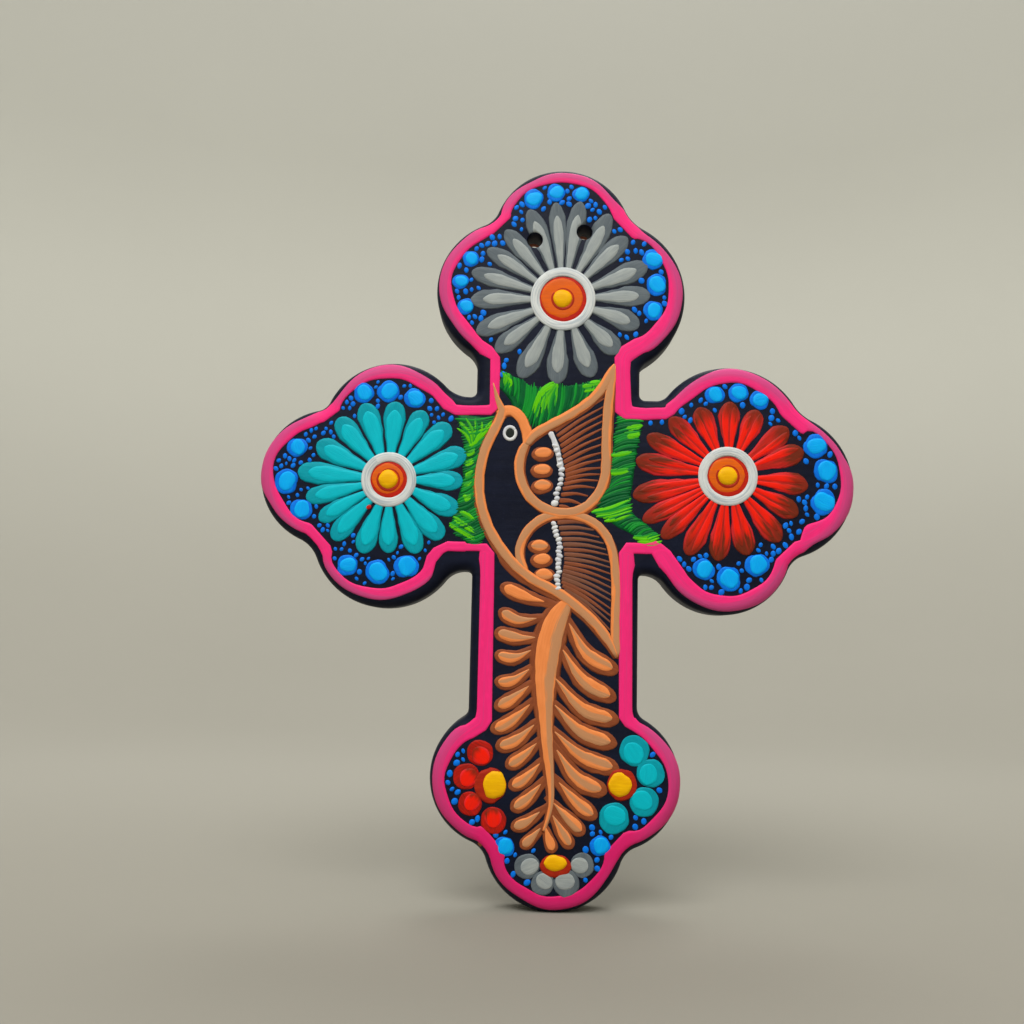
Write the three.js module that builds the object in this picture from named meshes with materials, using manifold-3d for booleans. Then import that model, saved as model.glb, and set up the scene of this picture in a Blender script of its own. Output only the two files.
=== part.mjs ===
// Hanging wall cross: a fired clay slab with trefoil ends, painted with folk ornament.
// Millimetres, +Z up. The back lies in the wall plane y = 0 and the painted face looks along -Y.
// The origin is on the back face, on the centreline, level with the middle of the two hanging holes.

import * as THREE from 'three';
import { mergeVertices } from 'three/addons/utils/BufferGeometryUtils.js';
import Module from 'manifold-3d';

const wasm = await Module();
wasm.setup();

// Slab
const slabThickness = 10.5;
const frontEdgeRadius = 2.8;
const backEdgeChamfer = 0.8;
const uprightWidth = 44.8;
const armWidth = 47.8;
const crotchFillet = 1.6;

// Hanging holes, drilled by hand: the right one sits a little higher
const holeDiameter = 4.2;
const holeSpacing = 13.8;
const holeRise = 2.6;
const holesAboveCrossing = 69.5;
const holesOffCentre = -0.4;

// Trefoil ends, measured from the crossing's centre: out along the end, and to the side across it.
// Each shoulder lobe blends into its bar by the neck fillet and into the tip lobe by the valley fillet.
const ends = [
  {
    name: 'right', turn: 0, barWidth: armWidth,
    tip: { out: 60.5, side: 1.2, radius: 20.3 },
    rightShoulder: { out: 45.0, side: 15.4, radius: 19.0, neckFillet: 6.3, valleyFillet: 7.1 },
    leftShoulder: { out: 46.9, side: 12.4, radius: 21.2, neckFillet: 4.1, valleyFillet: 11.6 },
  },
  {
    name: 'top', turn: 90, barWidth: uprightWidth,
    tip: { out: 70.1, side: -0.5, radius: 19.3 },
    rightShoulder: { out: 53.4, side: 12.8, radius: 22.0, neckFillet: 4.2, valleyFillet: 11.9 },
    leftShoulder: { out: 54.1, side: 13.8, radius: 20.4, neckFillet: 6.8, valleyFillet: 7.5 },
  },
  {
    name: 'left', turn: 180, barWidth: armWidth,
    tip: { out: 61.8, side: -0.8, radius: 18.7 },
    rightShoulder: { out: 45.0, side: 13.4, radius: 19.4, neckFillet: 9.0, valleyFillet: 4.3 },
    leftShoulder: { out: 45.7, side: 14.3, radius: 20.1, neckFillet: 6.6, valleyFillet: 9.5 },
  },
  {
    name: 'bottom', turn: 270, barWidth: uprightWidth,
    tip: { out: 91.9, side: 0.8, radius: 20.4 },
    rightShoulder: { out: 78.2, side: 14.2, radius: 18.0, neckFillet: 3.2, valleyFillet: 11.0 },
    leftShoulder: { out: 78.6, side: 15.5, radius: 18.3, neckFillet: 3.8, valleyFillet: 10.2 },
  },
];

// Paint: every pass is one thick layer of one colour, and passes overlap only where one lies on another
const paintThickness = 0.25;
const paintGap = 0.3;
const borderInnerInset = 4.4;

// Daisies: centres from the crossing's centre. Petals reach further towards the drift angle.
const petalHalfWidth = 2.2;
const petalRoot = 8.2;
const petalGlossHalfWidth = 1.1;
const petalGlossReach = 0.86;
const ringWidth = 2.4;
const heartRadius = 3.7;
const yolkRadius = 2.5;
const daisies = [
  {
    name: 'top_daisy', x: 0.8, z: 51.5, petals: 18, firstAngle: 4,
    reach: 25.0, drift: 2.2, driftAngle: 90, ringRadius: 8.9,
    petalColour: 0x646e76, glossColour: 0x969e9c,
  },
  {
    name: 'left_daisy', x: -45.5, z: 0.1, petals: 17, firstAngle: 2,
    reach: 21.6, drift: 0.6, driftAngle: 180, ringRadius: 7.4,
    petalColour: 0x009ba5, glossColour: 0x00b6be,
  },
  {
    name: 'right_daisy', x: 46.2, z: 3.0, petals: 17, firstAngle: 20,
    reach: 23.0, drift: 2.6, driftAngle: 195, ringRadius: 8.0,
    petalColour: 0xb4301a, glossColour: 0xe41e0a,
  },
];

// Big blue dots, three along the inside of each lobe's border, linked by small dots
const dotRuns = [
  { name: 'dots_top_tip', end: 'top', lobe: 'tip', middle: 99, step: 31, radius: 2.5 },
  { name: 'dots_top_left', end: 'top', lobe: 'leftShoulder', middle: 173, step: 29, radius: 2.3 },
  { name: 'dots_top_right', end: 'top', lobe: 'rightShoulder', middle: 10, step: 29, radius: 2.8 },
  { name: 'dots_left_tip', end: 'left', lobe: 'tip', middle: 187, step: 44, radius: 2.9 },
  { name: 'dots_left_upper', end: 'left', lobe: 'rightShoulder', middle: 97, step: 35, radius: 2.7 },
  { name: 'dots_left_lower', end: 'left', lobe: 'leftShoulder', middle: 261, step: 37, radius: 2.9 },
  { name: 'dots_right_tip', end: 'right', lobe: 'tip', middle: 12, step: 34, radius: 3.2 },
  { name: 'dots_right_upper', end: 'right', lobe: 'leftShoulder', middle: 82, step: 27, radius: 2.5 },
  { name: 'dots_right_lower', end: 'right', lobe: 'rightShoulder', middle: 278, step: 42, radius: 2.9 },
];
const linkDotPitch = 1.5;
const linkDotOverlap = 0.5;
const linkDotRadius = (linkDotPitch + linkDotOverlap) / 2;
const bottomDots = [
  { name: 'dot_bottom_left', x: -12.0, z: -95.3, radius: 2.2 },
  { name: 'dot_bottom_right', x: 12.8, z: -94.6, radius: 2.4 },
];

// Half blossoms at the bottom end: round petals fanned about a heart
const blossoms = [
  {
    name: 'red_blossom', x: -16.2, z: -80.0, heartRadius: 3.7, eyeRadius: 2.6,
    petalOut: 7.4, petalRadius: 3.3, angles: [110, 160, 215, 268], colour: 0xc8281a,
  },
  {
    name: 'teal_blossom', x: 18.1, z: -79.2, heartRadius: 3.7, eyeRadius: 2.8,
    petalOut: 7.9, petalRadius: 3.4, angles: [70, 20, -34, -92], colour: 0x00a0a8,
  },
  {
    name: 'grey_blossom', x: 1.2, z: -100.0, heartRadius: 3.0, eyeRadius: 2.0,
    petalOut: 6.2, petalRadius: 2.9, angles: [182, 232, 300, 356], colour: 0x7c868c,
  },
];
const blossomNeck = 1.2;

// Hummingbird: a brown pass and a narrower orange pass over it, along the same lines
const birdBrownHalfWidth = 1.45;
const birdOrangeHalfWidth = 1.0;
const bellyLine = [
  [-16.4, 24.0], [-14.9, 18.9], [-16.7, 15.6], [-19.2, 10.9], [-20.6, 4.4], [-21.1, -1.9], [-20.2, -8.2],
  [-17.9, -14.0], [-14.4, -19.4], [-10.2, -23.4], [-5.6, -26.2], [0.1, -29.4], [5.9, -33.1], [10.7, -36.7],
  [14.1, -40.9], [16.2, -45.6],
];
const headLine = [[-15.2, 18.6], [-13.6, 20.4], [-11.2, 20.1], [-8.8, 17.0], [-7.7, 13.6], [-8.6, 10.1]];
const upperWing = [
  [13.4, 30.6], [13.4, 24.0], [13.3, 14.0], [13.1, 5.2], [11.7, -0.2], [8.9, -4.7], [5.1, -7.4], [0.8, -8.1],
  [-3.1, -7.1], [-6.6, -3.8], [-9.2, 0.8], [-10.2, 5.2], [-9.6, 8.6], [-7.1, 13.1], [-2.1, 16.4], [3.7, 20.3],
  [9.0, 24.4],
];
const lowerWing = [
  [-9.3, -23.6], [-10.0, -20.0], [-9.4, -16.2], [-7.3, -13.0], [-3.5, -10.6], [0.8, -9.6], [5.6, -9.6],
  [9.4, -10.9], [12.9, -13.8], [14.9, -18.5], [15.7, -24.3], [15.9, -31.9], [15.9, -39.0], [16.0, -45.0],
];
// Wing ribs run from a root beside the beads to the wing's outline, between two shares of its length
const ribHalfWidth = 0.55;
const upperRibs = {
  count: 11, root: [[2.0, 13.6], [3.0, 4.5], [2.4, -4.6]], edge: upperWing, edgeShares: [0.07, 0.41],
};
const lowerRibs = {
  count: 12, root: [[2.2, -12.4], [3.0, -19.6], [2.6, -27.6]], edge: lowerWing, edgeShares: [0.42, 0.94],
};
const beadRadius = 0.85;
const beadRows = [
  {
    name: 'upper_wing_beads', count: 14,
    path: [[-1.8, 13.2], [0.0, 9.8], [1.0, 4.9], [1.0, 0.4], [-0.4, -4.4]],
  },
  {
    name: 'lower_wing_beads', count: 11,
    path: [[-0.5, -12.4], [0.6, -17.5], [0.9, -22.7], [0.3, -26.6]],
  },
];
const oval = { halfWidth: 2.6, halfHeight: 1.9 };
const ovalRows = [
  { name: 'upper_wing_oval', centres: [[-4.3, 8.3], [-4.6, 3.7], [-4.3, -0.8]] },
  { name: 'lower_wing_oval', centres: [[-4.3, -16.2], [-4.1, -20.3], [-3.4, -24.2]] },
];
const eye = { x: -12.9, z: 13.6, radius: 1.8, hole: 0.9 };

// Tail: a plume with feathers on both sides, again brown below and orange above
const plumeLine = [
  [1.6, -33.4], [-1.0, -40.6], [-2.5, -50.3], [-2.3, -59.3], [-1.2, -67.8], [-0.4, -76.7], [0.0, -83.5],
  [-1.2, -88.6],
];
const plumeBrown = [2.7, 3.6, 3.4, 2.9, 2.5, 1.9, 1.3, 0.6];
const plumeOrange = [2.0, 2.6, 2.1, 1.7, 1.5, 1.1, 0.6, 0.3];
const featherHalfWidth = 2.0;
const featherOrangeHalfWidth = 1.1;
const featherOrangeReach = 0.9;
const featherFans = [
  { count: 12, rootShares: [0.06, 0.97], tipX: [-15.6, -9.4], tipZ: [-33.6, -94.6], sag: 1.6 },
  { count: 9, rootShares: [0.1, 0.95], tipX: [16.2, 6.2], tipZ: [-49.6, -95.4], sag: 2.6 },
];

// Leaves: short strokes laid across a path, each overlapping the next. The side patches fill the arm's
// width and stop short of its edges.
const leafHalfWidth = 1.5;
const leafEndShare = 0.5;
const armHalf = armWidth / 2;
const leafTopMargin = 6.8;
const leafBottomMargin = 8.2;
const leafPatches = [
  {
    name: 'leaves_left', count: 16,
    path: [
      [-23.6, armHalf - leafTopMargin], [-23.4, 8.0], [-23.4, 0.0], [-23.2, -8.0],
      [-20.6, leafBottomMargin - armHalf],
    ],
    halfLengths: [4.4, 3.4, 2.8, 3.2, 3.4],
  },
  {
    name: 'leaves_top', count: 13,
    path: [[-14.2, 29.2], [-9.0, 27.4], [-5.4, 23.5], [0.0, 26.0], [5.0, 28.2], [10.0, 29.8]],
    halfLengths: [2.6, 4.4, 8.4, 5.6, 3.6, 1.8],
  },
  {
    name: 'leaves_right', count: 17,
    path: [
      [18.6, armHalf - leafTopMargin], [17.8, 8.0], [17.2, 0.0], [17.6, -7.0], [20.4, -12.4],
      [25.6, leafBottomMargin - armHalf],
    ],
    halfLengths: [3.4, 3.2, 3.0, 3.6, 3.0, 2.0],
  },
];

const arcStep = 20;
const degree = Math.PI / 180;
const crossingZ = -holesAboveCrossing;

// Finishes
const finish = (color, roughness) => new THREE.MeshStandardMaterial({ color, roughness, metalness: 0 });
const satin = 0.42;
const finishes = {
  baseCoat: finish(0x1a1e2c, 0.5),
  pink: finish(0xf0307c, satin),
  blue: finish(0x0088e0, satin),
  green: finish(0x16963a, satin),
  brown: finish(0x96502d, satin),
  orange: finish(0xe8935a, satin),
  white: finish(0xe0e0e2, satin),
  coral: finish(0xd84a1a, satin),
  maroon: finish(0xa82a18, satin),
  yellow: finish(0xf2b300, satin),
};

// Plan geometry, points as [x, z]
const turned = ([x, z], angle) => [
  x * Math.cos(angle) - z * Math.sin(angle),
  x * Math.sin(angle) + z * Math.cos(angle),
];
const towards = (from, to) => Math.atan2(to[1] - from[1], to[0] - from[0]);
const lerp = (a, b, t) => a + (b - a) * t;

// Centres of one side's neck and valley fillets, with that side's distance across counted positive
function sideFillets(halfBar, shoulder, tip) {
  const neckAcross = halfBar + shoulder.neckFillet;
  const neckReach = shoulder.radius + shoulder.neckFillet;
  const neckBack = Math.sqrt(neckReach ** 2 - (shoulder.side - neckAcross) ** 2);
  const neck = [shoulder.out - neckBack, neckAcross];

  const toShoulder = shoulder.radius + shoulder.valleyFillet;
  const toTip = tip.radius + shoulder.valleyFillet;
  const spread = Math.hypot(tip.out - shoulder.out, tip.side - shoulder.side);
  const along = (toShoulder ** 2 - toTip ** 2 + spread ** 2) / (2 * spread);
  const away = Math.sqrt(toShoulder ** 2 - along ** 2);
  const [ux, uz] = [(tip.out - shoulder.out) / spread, (tip.side - shoulder.side) / spread];
  const valley = [shoulder.out + ux * along - uz * away, shoulder.side + uz * along + ux * away];
  return { neck, valley };
}

// One end's arcs from its right side round the tip to its left side, in its own frame
function endArcs(end) {
  const halfBar = end.barWidth / 2;
  const right = end.rightShoulder;
  const left = end.leftShoulder;
  const mirrored = ([out, side]) => [out, -side];
  const rightFillets = sideFillets(halfBar, right, { ...end.tip, side: -end.tip.side });
  const { neck: leftNeck, valley: leftValley } = sideFillets(halfBar, left, end.tip);
  const rightNeck = mirrored(rightFillets.neck);
  const rightValley = mirrored(rightFillets.valley);
  const rightLobe = [right.out, -right.side];
  const leftLobe = [left.out, left.side];
  const tip = [end.tip.out, end.tip.side];
  const convex = (centre, radius, from, to) => ({ centre, radius, from, to, bulge: 1 });
  const concave = (centre, radius, from, to) => ({ centre, radius, from, to, bulge: -1 });
  return [
    concave(rightNeck, right.neckFillet, 90 * degree, towards(rightNeck, rightLobe)),
    convex(rightLobe, right.radius, towards(rightLobe, rightNeck), towards(rightLobe, rightValley)),
    concave(rightValley, right.valleyFillet, towards(rightValley, rightLobe), towards(rightValley, tip)),
    convex(tip, end.tip.radius, towards(tip, rightValley), towards(tip, leftValley)),
    concave(leftValley, left.valleyFillet, towards(leftValley, tip), towards(leftValley, leftLobe)),
    convex(leftLobe, left.radius, towards(leftLobe, leftValley), towards(leftLobe, leftNeck)),
    concave(leftNeck, left.neckFillet, towards(leftNeck, leftLobe), -90 * degree),
  ];
}

// The whole outline as tangent arcs, counterclockwise seen from the front; straight runs join them
function outlineArcs() {
  const arcs = [];
  ends.forEach((end, i) => {
    const next = ends[(i + 1) % ends.length];
    const crotch = {
      centre: [next.barWidth / 2 + crotchFillet, end.barWidth / 2 + crotchFillet],
      radius: crotchFillet, from: 270 * degree, to: 180 * degree, bulge: -1,
    };
    const arcsHere = [...endArcs(end), crotch];
    for (const arc of arcsHere) {
      const fullTurn = 2 * Math.PI;
      let sweep = (arc.to - arc.from) % fullTurn;
      if (arc.bulge > 0 && sweep < 0) sweep += fullTurn;
      if (arc.bulge < 0 && sweep > 0) sweep -= fullTurn;
      arcs.push({
        centre: turned(arc.centre, end.turn * degree), radius: arc.radius, bulge: arc.bulge,
        from: arc.from + end.turn * degree, sweep,
        steps: Math.max(2, Math.ceil(Math.abs(sweep) / (arcStep * degree))),
        straightAfter: arcsHere.indexOf(arc) >= arcsHere.length - 2,
      });
    }
  });
  return arcs;
}

const slabArcs = outlineArcs();

// The outline drawn in by an inset: convex arcs shrink and concave ones grow about the same centres
function outline(inset) {
  return slabArcs.flatMap(({ centre, radius, bulge, from, sweep, steps, straightAfter }) => {
    const insetRadius = radius - bulge * inset;
    return Array.from({ length: straightAfter ? steps + 1 : steps }, (_, k) => {
      const angle = from + sweep * k / steps;
      return [centre[0] + insetRadius * Math.cos(angle), centre[1] + insetRadius * Math.sin(angle)];
    });
  });
}

function circle([x, z], radius, sides) {
  return Array.from({ length: sides }, (_, k) => {
    const angle = 2 * Math.PI * k / sides;
    return [x + radius * Math.cos(angle), z + radius * Math.sin(angle)];
  });
}

function ellipse([x, z], halfWidth, halfHeight, sides) {
  return circle([0, 0], 1, sides).map(([u, v]) => [x + u * halfWidth, z + v * halfHeight]);
}

// A brush stroke along a smooth curve; the profile gives half widths at shares of its length
function stroke(points, profile, grow = 0) {
  const curve = smoothPath(points);
  const left = [];
  const right = [];
  profile.forEach(([share, halfWidth], i) => {
    const at = curve.getPointAt(share);
    const way = curve.getTangentAt(share);
    const pastEnd = (i === profile.length - 1 ? grow : 0) - (i === 0 ? grow : 0);
    at.addScaledVector(way, pastEnd);
    const reach = halfWidth + grow;
    left.push([at.x - way.y * reach, at.y + way.x * reach]);
    right.unshift([at.x + way.y * reach, at.y - way.x * reach]);
  });
  return [...left, ...right];
}

const evenProfile = (halfWidth, steps) => Array.from({ length: steps + 1 }, (_, k) => [k / steps, halfWidth]);
const taperProfile = (halfWidths) => halfWidths.map((half, k) => [k / (halfWidths.length - 1), half]);

// A point on a smooth path at a share of its length, and the path's direction there
const smoothPath = (path) => new THREE.SplineCurve(path.map(([x, z]) => new THREE.Vector2(x, z)));
const alongPath = (path, share) => smoothPath(path).getPointAt(share).toArray();
const headingAt = (path, share) => smoothPath(path).getTangentAt(share).angle();

// A value that changes evenly from one entry of a list to the next
function blendedEntry(list, share) {
  const slot = share * (list.length - 1);
  const low = Math.min(Math.floor(slot), list.length - 2);
  return lerp(list[low], list[low + 1], slot - low);
}

// Solids
function geometryFrom(vertices, triangles) {
  const geometry = new THREE.BufferGeometry();
  geometry.setAttribute('position', new THREE.Float32BufferAttribute(vertices.flat(), 3));
  geometry.setIndex(triangles.flat());
  geometry.computeVertexNormals();
  return geometry;
}

// Quads between neighbouring rings of equal length; the rings run from back to front on the outside
function bandsBetween(ringCount, ringLength, closed) {
  const triangles = [];
  for (let j = 0; j < (closed ? ringCount : ringCount - 1); j++) {
    const here = j * ringLength;
    const there = ((j + 1) % ringCount) * ringLength;
    for (let i = 0; i < ringLength; i++) {
      const next = (i + 1) % ringLength;
      triangles.push([here + i, here + next, there + next], [here + i, there + next, there + i]);
    }
  }
  return triangles;
}

const asVectors = (contour) => contour.map(([x, z]) => new THREE.Vector2(x, z));
const inSpace = (contour, y) => contour.map(([x, z]) => [x, y, z + crossingZ]);

// A solid with a back cap, any number of rings and a front cap: rings are { contour, y }
function cappedSolid(rings) {
  const length = rings[0].contour.length;
  const vertices = rings.flatMap(({ contour, y }) => inSpace(contour, y));
  const triangles = bandsBetween(rings.length, length, false);
  const capOf = ({ contour }) => THREE.ShapeUtils.triangulateShape(asVectors(contour), []);
  const last = (rings.length - 1) * length;
  for (const [a, b, c] of capOf(rings[0])) triangles.push([a, c, b]);
  for (const [a, b, c] of capOf(rings[rings.length - 1])) triangles.push([last + a, last + b, last + c]);
  return geometryFrom(vertices, triangles);
}

// A closed hoop whose cross-section's rings go round without caps
function hoopSolid(rings) {
  const vertices = rings.flatMap(({ contour, y }) => inSpace(contour, y));
  return geometryFrom(vertices, bandsBetween(rings.length, rings[0].contour.length, true));
}

function toManifold(geometry) {
  return new wasm.Manifold(new wasm.Mesh({
    numProp: 3,
    vertProperties: Float32Array.from(geometry.getAttribute('position').array),
    triVerts: Uint32Array.from(geometry.index.array),
  }));
}

function toGeometry(manifold) {
  const { vertProperties, triVerts } = manifold.getMesh();
  const geometry = new THREE.BufferGeometry();
  geometry.setAttribute('position', new THREE.BufferAttribute(vertProperties, 3));
  geometry.setIndex(new THREE.BufferAttribute(triVerts, 1));
  geometry.computeVertexNormals();
  return geometry;
}

const joined = (solids) => solids.reduce((whole, solid) => whole.add(solid));
const without = (solid, others) => others.reduce((left, other) => left.subtract(other), solid);

// Paint passes
const passFront = (pass) => -(slabThickness + pass * paintThickness);

function paint(contour, pass) {
  const ordered = THREE.ShapeUtils.isClockWise(asVectors(contour)) ? [...contour].reverse() : contour;
  return toManifold(cappedSolid([
    { contour: ordered, y: passFront(pass - 1) },
    { contour: ordered, y: passFront(pass) },
  ]));
}

// The field inside the border, where all other first passes stay
const field = () => paint(outline(borderInnerInset + paintGap), 1);

const group = new THREE.Group();

function addPiece(name, geometry, material) {
  const mesh = new THREE.Mesh(geometry, material);
  mesh.name = name;
  group.add(mesh);
}

const addPaint = (name, manifold, material) => addPiece(name, toGeometry(manifold), material);

// Clay slab: chamfered back edge, straight wall, rounded front edge, two holes right through
const frontEdgeSteps = [0, 28, 59, 90];

function edgePoint(angle, outward = 0) {
  const reach = frontEdgeRadius + outward;
  return {
    inset: frontEdgeRadius - reach * Math.cos(angle * degree),
    y: angle === 90
      ? -(slabThickness + outward)
      : -(slabThickness - frontEdgeRadius + reach * Math.sin(angle * degree)),
  };
}

function makeSlab() {
  const profile = [
    { inset: backEdgeChamfer, y: 0 },
    { inset: 0, y: -backEdgeChamfer },
    ...frontEdgeSteps.map((angle) => edgePoint(angle)),
  ];
  let slab = toManifold(cappedSolid(profile.map(({ inset, y }) => ({ contour: outline(inset), y }))));
  for (const side of [-1, 1]) {
    const drill = new THREE.CylinderGeometry(holeDiameter / 2, holeDiameter / 2, 2 * slabThickness, 20);
    drill.translate(holesOffCentre + side * holeSpacing / 2, -slabThickness / 2, side * holeRise / 2);
    drill.deleteAttribute('normal');
    drill.deleteAttribute('uv');
    slab = slab.subtract(toManifold(mergeVertices(drill)));
  }
  addPaint('clay_slab', slab, finishes.baseCoat);
}

// Border: a band of pink that wraps the rounded front edge and runs all the way round
function makeBorder() {
  const wrapped = frontEdgeSteps.slice(1);
  const over = wrapped.map((angle) => edgePoint(angle, paintThickness));
  const inner = [1, 0].map((pass) => ({ inset: borderInnerInset, y: passFront(pass) }));
  const under = wrapped.map((angle) => edgePoint(angle)).reverse();
  const rings = [...over, ...inner, ...under].map(({ inset, y }) => ({ contour: outline(inset), y }));
  addPiece('border_band', hoopSolid(rings), finishes.pink);
}

// Daisies
const petalProfile = [[0.55, 0.85], [0.88, 0.95]];
const petalGlossProfile = [[0.72, 1.0]];

function daisyStar(daisy, { profile, reachShare = 1, halfWidth, root, grow = 0 }) {
  const star = [];
  for (let k = 0; k < daisy.petals; k++) {
    const angle = (daisy.firstAngle + 360 * k / daisy.petals) * degree;
    const fullReach = daisy.reach + daisy.drift * Math.cos(angle - daisy.driftAngle * degree);
    const reach = fullReach * reachShare + grow;
    const place = ([out, side]) => {
      const [x, z] = turned([out, side], angle);
      return [daisy.x + x, daisy.z + z];
    };
    const valley = turned([root + grow, 0], -Math.PI / daisy.petals);
    star.push(place(valley));
    const edge = profile.map(([share, width]) => [reach * share, width * halfWidth + grow]);
    for (const [out, side] of edge) star.push(place([out, -side]));
    star.push(place([reach, 0]));
    for (const [out, side] of edge.reverse()) star.push(place([out, side]));
  }
  return star;
}

const daisyPetals = (daisy, grow = 0) => paint(daisyStar(daisy, {
  profile: petalProfile, halfWidth: petalHalfWidth, root: petalRoot, grow,
}), 1);
const petalRooms = () => daisies.map((daisy) => daisyPetals(daisy, paintGap));

function makeDaisy(daisy) {
  const centre = [daisy.x, daisy.z];
  const ringInner = daisy.ringRadius - ringWidth;
  const petals = cutToHoles(daisyPetals(daisy), 1).intersect(field());
  addPaint(`${daisy.name}_petals`, petals, finish(daisy.petalColour, satin));
  const gloss = paint(daisyStar(daisy, {
    profile: petalGlossProfile, reachShare: petalGlossReach,
    halfWidth: petalGlossHalfWidth, root: petalRoot - paintGap,
  }), 2);
  addPaint(`${daisy.name}_petal_gloss`, cutToHoles(gloss, 2), finish(daisy.glossColour, satin));
  const ring = paint(circle(centre, daisy.ringRadius, 20), 3);
  const ringHole = paint(circle(centre, ringInner, 20), 3);
  addPaint(`${daisy.name}_ring`, ring.subtract(ringHole), finishes.white);
  addPaint(`${daisy.name}_disc`, paint(circle(centre, ringInner - paintGap, 16), 3), finishes.coral);
  addPaint(`${daisy.name}_heart`, paint(circle(centre, heartRadius, 16), 4), finishes.maroon);
  addPaint(`${daisy.name}_yolk`, paint(circle(centre, yolkRadius, 12), 5), finishes.yellow);
}

// Paint that crosses a hanging hole is open there
function cutToHoles(solid, pass) {
  return without(solid, [-1, 1].map((side) => {
    const centre = [holesOffCentre + side * holeSpacing / 2, holesAboveCrossing + side * holeRise / 2];
    return paint(circle(centre, holeDiameter / 2 + paintGap, 12), pass);
  }));
}

// Blue dots
function lobeCircle(endName, lobeName) {
  const end = ends.find(({ name }) => name === endName);
  const lobe = end[lobeName];
  const across = lobeName === 'rightShoulder' ? -lobe.side : lobe.side;
  return { centre: turned([lobe.out, across], end.turn * degree), radius: lobe.radius };
}

function makeDotRun(run) {
  const lobe = lobeCircle(run.end, run.lobe);
  const out = lobe.radius - borderInnerInset - 2 * paintGap - run.radius;
  const onArc = (angle) => [
    lobe.centre[0] + out * Math.cos(angle * degree),
    lobe.centre[1] + out * Math.sin(angle * degree),
  ];
  const bigDots = [-1, 0, 1].map((k) => circle(onArc(run.middle + k * run.step), run.radius, 10));
  const chord = 2 * out * Math.sin(run.step * degree / 2);
  const links = Math.max(1, Math.ceil((chord - 2 * run.radius) / linkDotPitch));
  const smallDots = [-1, 0].flatMap((k) => Array.from({ length: links }, (_, j) => {
    const gapShare = run.radius / chord + (1 - 2 * run.radius / chord) * (j + 0.5) / links;
    return circle(onArc(run.middle + (k + gapShare) * run.step), linkDotRadius, 6);
  }));
  const dots = joined([...bigDots, ...smallDots].map((contour) => paint(contour, 1)));
  addPaint(run.name, without(dots, petalRooms()).intersect(field()), finishes.blue);
}

// Half blossoms
function blossomPetals(blossom, grow = 0) {
  const centre = [blossom.x, blossom.z];
  const marks = [circle(centre, blossom.heartRadius + grow, 14)];
  for (const angle of blossom.angles) {
    const [dx, dz] = turned([blossom.petalOut, 0], angle * degree);
    const petal = [blossom.x + dx, blossom.z + dz];
    marks.push(circle(petal, blossom.petalRadius + grow, 12));
    marks.push(stroke([centre, petal], evenProfile(blossomNeck, 1), grow));
  }
  return joined(marks.map((contour) => paint(contour, 1)));
}

function makeBlossom(blossom) {
  const centre = [blossom.x, blossom.z];
  const petals = blossomPetals(blossom).intersect(field());
  addPaint(`${blossom.name}_petals`, petals, finish(blossom.colour, satin));
  addPaint(`${blossom.name}_heart`, paint(circle(centre, blossom.heartRadius, 14), 2), finishes.maroon);
  addPaint(`${blossom.name}_eye`, paint(circle(centre, blossom.eyeRadius, 12), 3), finishes.yellow);
}

// Hummingbird
const upperWingLoop = [...upperWing, upperWing[0]];
const birdLines = [
  { points: bellyLine, steps: 14 },
  { points: headLine, steps: 6 },
  { points: upperWingLoop, steps: 19 },
  { points: lowerWing, steps: 13 },
];
const linePaint = (halfWidth, pass, grow = 0) => birdLines.map(({ points, steps }) => {
  return paint(stroke(points, evenProfile(halfWidth, steps), grow), pass);
});

function ribPaint({ count, root, edge, edgeShares }) {
  return Array.from({ length: count }, (_, k) => {
    const share = k / (count - 1);
    const rib = [alongPath(root, share), alongPath(edge, lerp(...edgeShares, share))];
    return paint(stroke(rib, evenProfile(ribHalfWidth, 1)), 1);
  });
}

// The bird with its outline filled in, for what is painted round it
const birdSilhouette = (grow) => joined([
  ...linePaint(birdBrownHalfWidth, 1, grow),
  paint(upperWing, 1),
  paint(lowerWing, 1),
  paint([...bellyLine.slice(1, 11), ...headLine.slice().reverse()], 1),
]);

function makeBird() {
  const brownLines = [...linePaint(birdBrownHalfWidth, 1), ...ribPaint(upperRibs), ...ribPaint(lowerRibs)];
  addPaint('bird_brown_lines', joined(brownLines).intersect(field()), finishes.brown);
  addPaint('bird_orange_lines', joined(linePaint(birdOrangeHalfWidth, 2)), finishes.orange);
  const clearOfLines = (solid) => without(solid, linePaint(birdBrownHalfWidth, 1, paintGap));
  for (const { name, count, path } of beadRows) {
    const beads = Array.from({ length: count }, (_, k) => {
      return paint(circle(alongPath(path, k / (count - 1)), beadRadius, 6), 1);
    });
    addPaint(name, clearOfLines(joined(beads)), finishes.white);
  }
  for (const { name, centres } of ovalRows) {
    centres.forEach((centre, k) => {
      const mark = paint(ellipse(centre, oval.halfWidth, oval.halfHeight, 14), 1);
      addPaint(`${name}_${k + 1}`, clearOfLines(mark), finishes.orange);
    });
  }
  const eyeDisc = paint(circle([eye.x, eye.z], eye.radius, 14), 1);
  const eyeHole = paint(circle([eye.x, eye.z], eye.hole, 14), 1);
  addPaint('bird_eye_ring', clearOfLines(eyeDisc.subtract(eyeHole)), finishes.white);
}

// Tail
const featherProfile = [[0, 0.35], [0.4, 0.75], [0.8, 1.0], [1, 0.4]];

// A feather leaves the plume, sags, and ends on a line of tips that draws in over its lower half
function featherLine({ rootShares, tipX, tipZ, sag }, down, reach) {
  const root = alongPath(plumeLine, lerp(...rootShares, down));
  const drawnIn = Math.max(0, 2 * down - 1);
  const tip = [lerp(...tipX, drawnIn), lerp(...tipZ, down)];
  const towardsTip = (share) => [lerp(root[0], tip[0], share), lerp(root[1], tip[1], share)];
  const [midX, midZ] = towardsTip(0.5);
  return [root, [midX, midZ - sag], towardsTip(reach)];
}

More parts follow.
